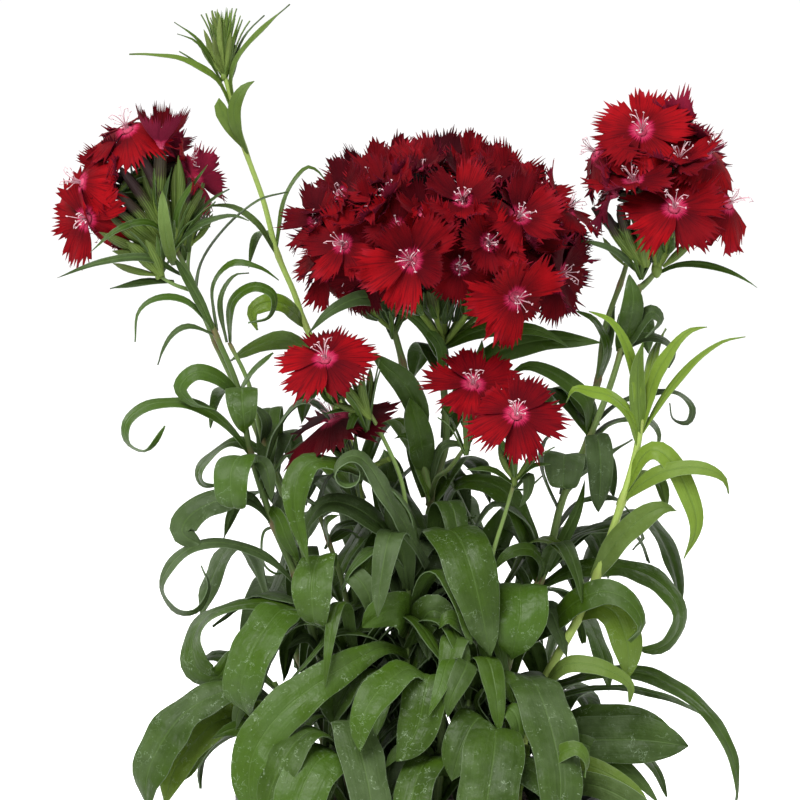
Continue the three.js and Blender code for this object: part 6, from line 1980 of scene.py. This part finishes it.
    def inner_florets(self) -> tuple[Floret, ...]:
        """Ruffled florets that fill the gaps between the others."""
        dice = random.Random(77)
        eyes = [np.array(floret.eye) for floret in self.florets()]
        made = []
        for i in range(self.fillers):
            height = 1 - 1.4 * (i + 0.5) / self.fillers
            angle = self.GOLDEN_ANGLE * i
            flat = math.sqrt(max(0.0, 1 - height * height))
            way = np.array((flat * math.cos(angle), flat * math.sin(angle), height))
            point = np.array(self.centre) + np.array(self.radii) * way
            floor = self.UNDERSIDE[0 if point[1] < 0 else 1]
            if point[2] < floor or min(np.linalg.norm(point - eye) for eye in eyes) < self.elbow_room:
                continue
            eye, normal = self._place(point, dice.uniform(*self.SUNK))
            eyes.append(point)
            sway = [dice.uniform(-0.35, 0.35) for _ in range(3)]
            facing = tuple(unit(normal + np.array(sway) + np.array([0, 0, 0.35 * max(0.0, height)])))
            radius, cup = dice.uniform(*self.SMALL), dice.uniform(*self.RUFFLED)
            spin, dark = dice.uniform(0, 72), dice.uniform(*self.DARK)
            made.append(Floret(tuple(eye), facing, radius, cup, spin, self.claw, 1.5, dark, 1))
        return tuple(made)

    def calyxes(self) -> tuple[Calyx, ...]:
        """Calyxes that show below the dome."""
        cx, cy, _ = self.centre
        made = []
        for ring, (number, spread) in enumerate(self.PEDICELS):
            for i in range(number):
                angle = (i + 0.5 * ring) / number * 2 * math.pi
                knot = self.knots[1 if math.cos(angle) < -0.4 else 0]
                end = (cx + spread * math.cos(angle), cy + spread * 0.92 * math.sin(angle), self.bottom + 2)
                way = unit(np.array(end) - np.array(knot) + np.array([0, 0, 3.0]))
                made.append(Calyx(knot, end, tuple(way), 12.0, 0.55))
        return tuple(made)


# ---------------------------------------------------------------- shoots on the far side


class Draw:
    """Small seeded generator, the same as the one that the solids of the far shoots are drawn with."""

    MASK = 0xFFFFFFFF
    STEP = 0x6D2B79F5

    def __init__(self, seed: int) -> None:
        """Starts from a seed."""
        self.state = seed & self.MASK

    def next(self) -> float:
        """The next value from 0 to 1."""
        self.state = (self.state + self.STEP) & self.MASK
        t = self.state
        t = ((t ^ (t >> 15)) * (t | 1)) & self.MASK
        t ^= (t + (((t ^ (t >> 7)) * (t | 61)) & self.MASK)) & self.MASK
        return ((t ^ (t >> 14)) & self.MASK) / (self.MASK + 1)

    def between(self, low: float, high: float) -> float:
        """The next value between two bounds."""
        return low + (high - low) * self.next()


@dataclass(frozen=True)
class FarShoot:
    """The rule of a leafy shoot on the far side."""

    foot: tuple[float, float]  # where it leaves the soil
    height: float  # its height over the soil
    lean: tuple[float, float]  # how far its top leans
    turn: float  # heading of its first leaf pair, in radians
    seed: int  # the seed of its leaves
    pairs: int = 3  # how many leaf pairs it has

    def _at(self, share: float) -> tuple[float, float, float]:
        """A place on its stalk."""
        bend = share * share
        x, y = (foot + lean * bend for foot, lean in zip(self.foot, self.lean))
        return x, y, 84.0 + self.height * share

    def plan(self) -> Plan:
        """Its stalk and leaves."""
        draw = Draw(self.seed)
        knots = tuple((*self._at(share), 1) for share in (0.35, 0.7, 1.0))
        course = ((*self.foot, 60.0), self._at(0.0), *knots)
        leaves = []
        for i in range(self.pairs):
            share = 0.3 + 0.7 * i / (self.pairs - 1)
            for half in (0, 1):
                angle = self.turn + (i % 2) * math.pi / 2 + half * math.pi + 0.35 * (draw.next() - 0.5)
                outward = 1.0 if math.sin(angle) > -0.2 else 0.55
                length, width = draw.between(44, 62) * outward, draw.between(9, 13)
                lift = 1.6 if outward < 1 else 0.8 + 0.4 * share
                leaves.append(Leaf(width, 0, arch(self._at(share), angle, length, lift)))
        return Plan(stalks=(Stalk(2.1, 1.4, course),), leaves=tuple(leaves))


FAR_SHOOTS = {
    "shoot_back_left": FarShoot((-30, 26), 66, (-20, 9), 0.52, 4),
    "shoot_back": FarShoot((2, 40), 74, (0, 14), 1.04, 5),
    "shoot_back_right": FarShoot((32, 24), 68, (20, 9), 0.78, 1),
}


# ---------------------------------------------------------------- studio


@dataclass(frozen=True)
class Studio:
    """Pale floor, soft lamps and the camera."""

    aim: Point = (-6.7, 0.0, 220.0)  # the point that the camera looks at, in millimetres
    distance: float = 1200.0  # from the camera to it, in millimetres
    elevation: float = 6.0  # how far the camera looks down, in degrees
    width: float = 256.0  # what the picture spans at the aim, in millimetres
    sensor: float = 36.0  # width of the camera's sensor, in millimetres
    sun: float = 2.0  # strength of the even light from above
    horizon: float = 1.02  # how bright the room is all round
    zenith: float = 0.42  # how bright it is overhead

    # name, place in metres, side and watts
    LAMPS = (
        ("key", (-0.45, -1.00, 1.35), 0.8, 46.0),
        ("fill", (1.15, -0.95, 0.75), 1.1, 7.0),
        ("rim_left", (-1.1, 0.75, 0.9), 0.8, 11.0),
        ("rim_right", (1.0, 0.9, 1.0), 0.8, 11.0),
    )

    def build(self) -> None:
        """Adds floor, light and camera to the scene."""
        self._floor()
        for name, place, size, power in self.LAMPS:
            self._lamp(name, Vector(place), size, power)
        light = bpy.data.lights.new("overhead", "SUN")
        light.energy, light.angle = self.sun, math.radians(50)
        way = Vector((0.20, 0.35, -1.0)).to_track_quat("-Z", "Y")
        in_scene("overhead", light).rotation_euler = way.to_euler()
        self._room()
        bpy.context.scene.view_settings.view_transform = "Standard"
        self._camera()

    def _room(self) -> None:
        """Adds the white room's light, brightest at eye height."""
        world = bpy.data.worlds.new("white_room")
        world.use_nodes = True
        nodes, links = world.node_tree.nodes, world.node_tree.links
        back = next(node for node in nodes if node.type == "BACKGROUND")
        split = nodes.new("ShaderNodeSeparateXYZ")
        links.new(nodes.new("ShaderNodeTexCoord").outputs["Generated"], split.inputs[0])
        height = nodes.new("ShaderNodeMapRange")
        height.interpolation_type = "SMOOTHSTEP"
        links.new(split.outputs[2], height.inputs[0])
        for socket, value in zip(height.inputs[1:5], (0.10, 0.50, self.horizon, self.zenith)):
            socket.default_value = value
        links.new(height.outputs[0], back.inputs["Strength"])
        back.inputs["Color"].default_value = (1.0, 1.0, 1.0, 1.0)
        bpy.context.scene.world = world

    def _floor(self) -> None:
        """Adds the floor."""
        bm = bmesh.new()
        bmesh.ops.create_grid(bm, x_segments=4, y_segments=4, size=60.0)
        mesh = baked(bm, "floor")
        recipe = Recipe("floor_paper")
        recipe.shade(Base_Color=(0.99, 0.99, 0.99), Roughness=0.9, Specular_IOR_Level=0.1)
        mesh.materials.append(recipe.material)
        floor = in_scene("floor", mesh)

    def _lamp(self, name: str, place: Vector, size: float, power: float) -> None:
        """Adds a soft square lamp that faces the plant.

        Args:
            name: its name.
            place: where it hangs, in metres.
            size: its side.
            power: its strength in watts.
        """
        lamp = bpy.data.lights.new(name, "AREA")
        lamp.shape, lamp.size, lamp.energy = "SQUARE", size, power
        holder = in_scene(name, lamp)
        holder.location = place
        holder.rotation_euler = (Vector((0.0, 0.0, 0.2)) - place).to_track_quat("-Z", "Y").to_euler()

    def _camera(self) -> None:
        """Adds the camera."""
        tilt = math.radians(self.elevation)
        lens = bpy.data.cameras.new("camera")
        lens.sensor_width, lens.sensor_fit = self.sensor, "HORIZONTAL"
        lens.lens = self.sensor * self.distance / self.width
        lens.clip_end = 300.0
        camera = in_scene("camera", lens)
        away = Vector((0.0, -math.cos(tilt), math.sin(tilt))) * self.distance
        camera.location = (Vector(self.aim) + away) * MM
        camera.rotation_euler = (math.pi / 2 - tilt, 0.0, 0.0)
        bpy.context.scene.camera = camera


# ---------------------------------------------------------------- the plant put together


def head_florets() -> dict[str, tuple[Floret, ...]]:
    """The florets of the side heads and the single blooms, by node."""
    return {
        name: tuple(
            Floret((x, y, z), tuple(facing), radius, cup, spin, unrest=unrest, painted_shade=dark)
            for x, y, z, *facing, radius, cup, spin, unrest, dark in rows
        )
        for name, rows in HEAD_ROWS.items()
    }


def stem_calyxes(heads: dict[str, tuple[Floret, ...]]) -> dict[str, tuple[Calyx, ...]]:
    """The calyxes on each stem.

    Args:
        heads: florets by node.

    Returns:
        Calyxes by the stem's node.
    """
    made: dict[str, list[Calyx]] = {"stem_centre": list(Dome().calyxes())}
    for name, (stem, knot) in CARRIERS.items():
        made.setdefault(stem, []).extend(floret.calyx(knot) for floret in heads[name])
    return {stem: tuple(rows) for stem, rows in made.items()}


def main() -> None:
    """Builds the pot, the soil, every stem, every head and the studio."""
    logging.basicConfig(level=logging.INFO, format="%(message)s")
    Pot().build()
    Soil().build()
    greens = [LeafFinish().material(), StalkFinish().material(), CalyxFinish().material()]
    reds = [PetalFinish().material(), ThreadFinish().material(), HeartFinish().material()]
    heads = head_florets()
    calyxes = stem_calyxes(heads)
    plans = {**PLANS, **{name: rule.plan() for name, rule in FAR_SHOOTS.items()}}
    for seed, (name, plan) in enumerate(plans.items(), Seed.STEMS):
        youth, blush, undergrowth = HABITS.get(name, (0.0, 0.15, 0))
        under, awls = calyxes.get(name, ()), AWLS.get(name, ())
        LeafyStem(name, plan, seed, under, youth, blush, undergrowth, awls).build(greens)
    for seed, (name, florets) in enumerate(heads.items(), Seed.HEADS):
        FlowerHead(name, florets, seed, (name,)).build(reds)
    dome = Dome()
    FlowerHead("head_centre", dome.florets(), Seed.CENTRE, ("head_centre",)).build(reds)
    FlowerHead("head_centre_heart", dome.inner_florets(), Seed.HEART, (), dome.HEART, PLAINER).build(reds)
    Studio().build()
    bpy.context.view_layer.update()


if __name__ == "__main__":
    main()
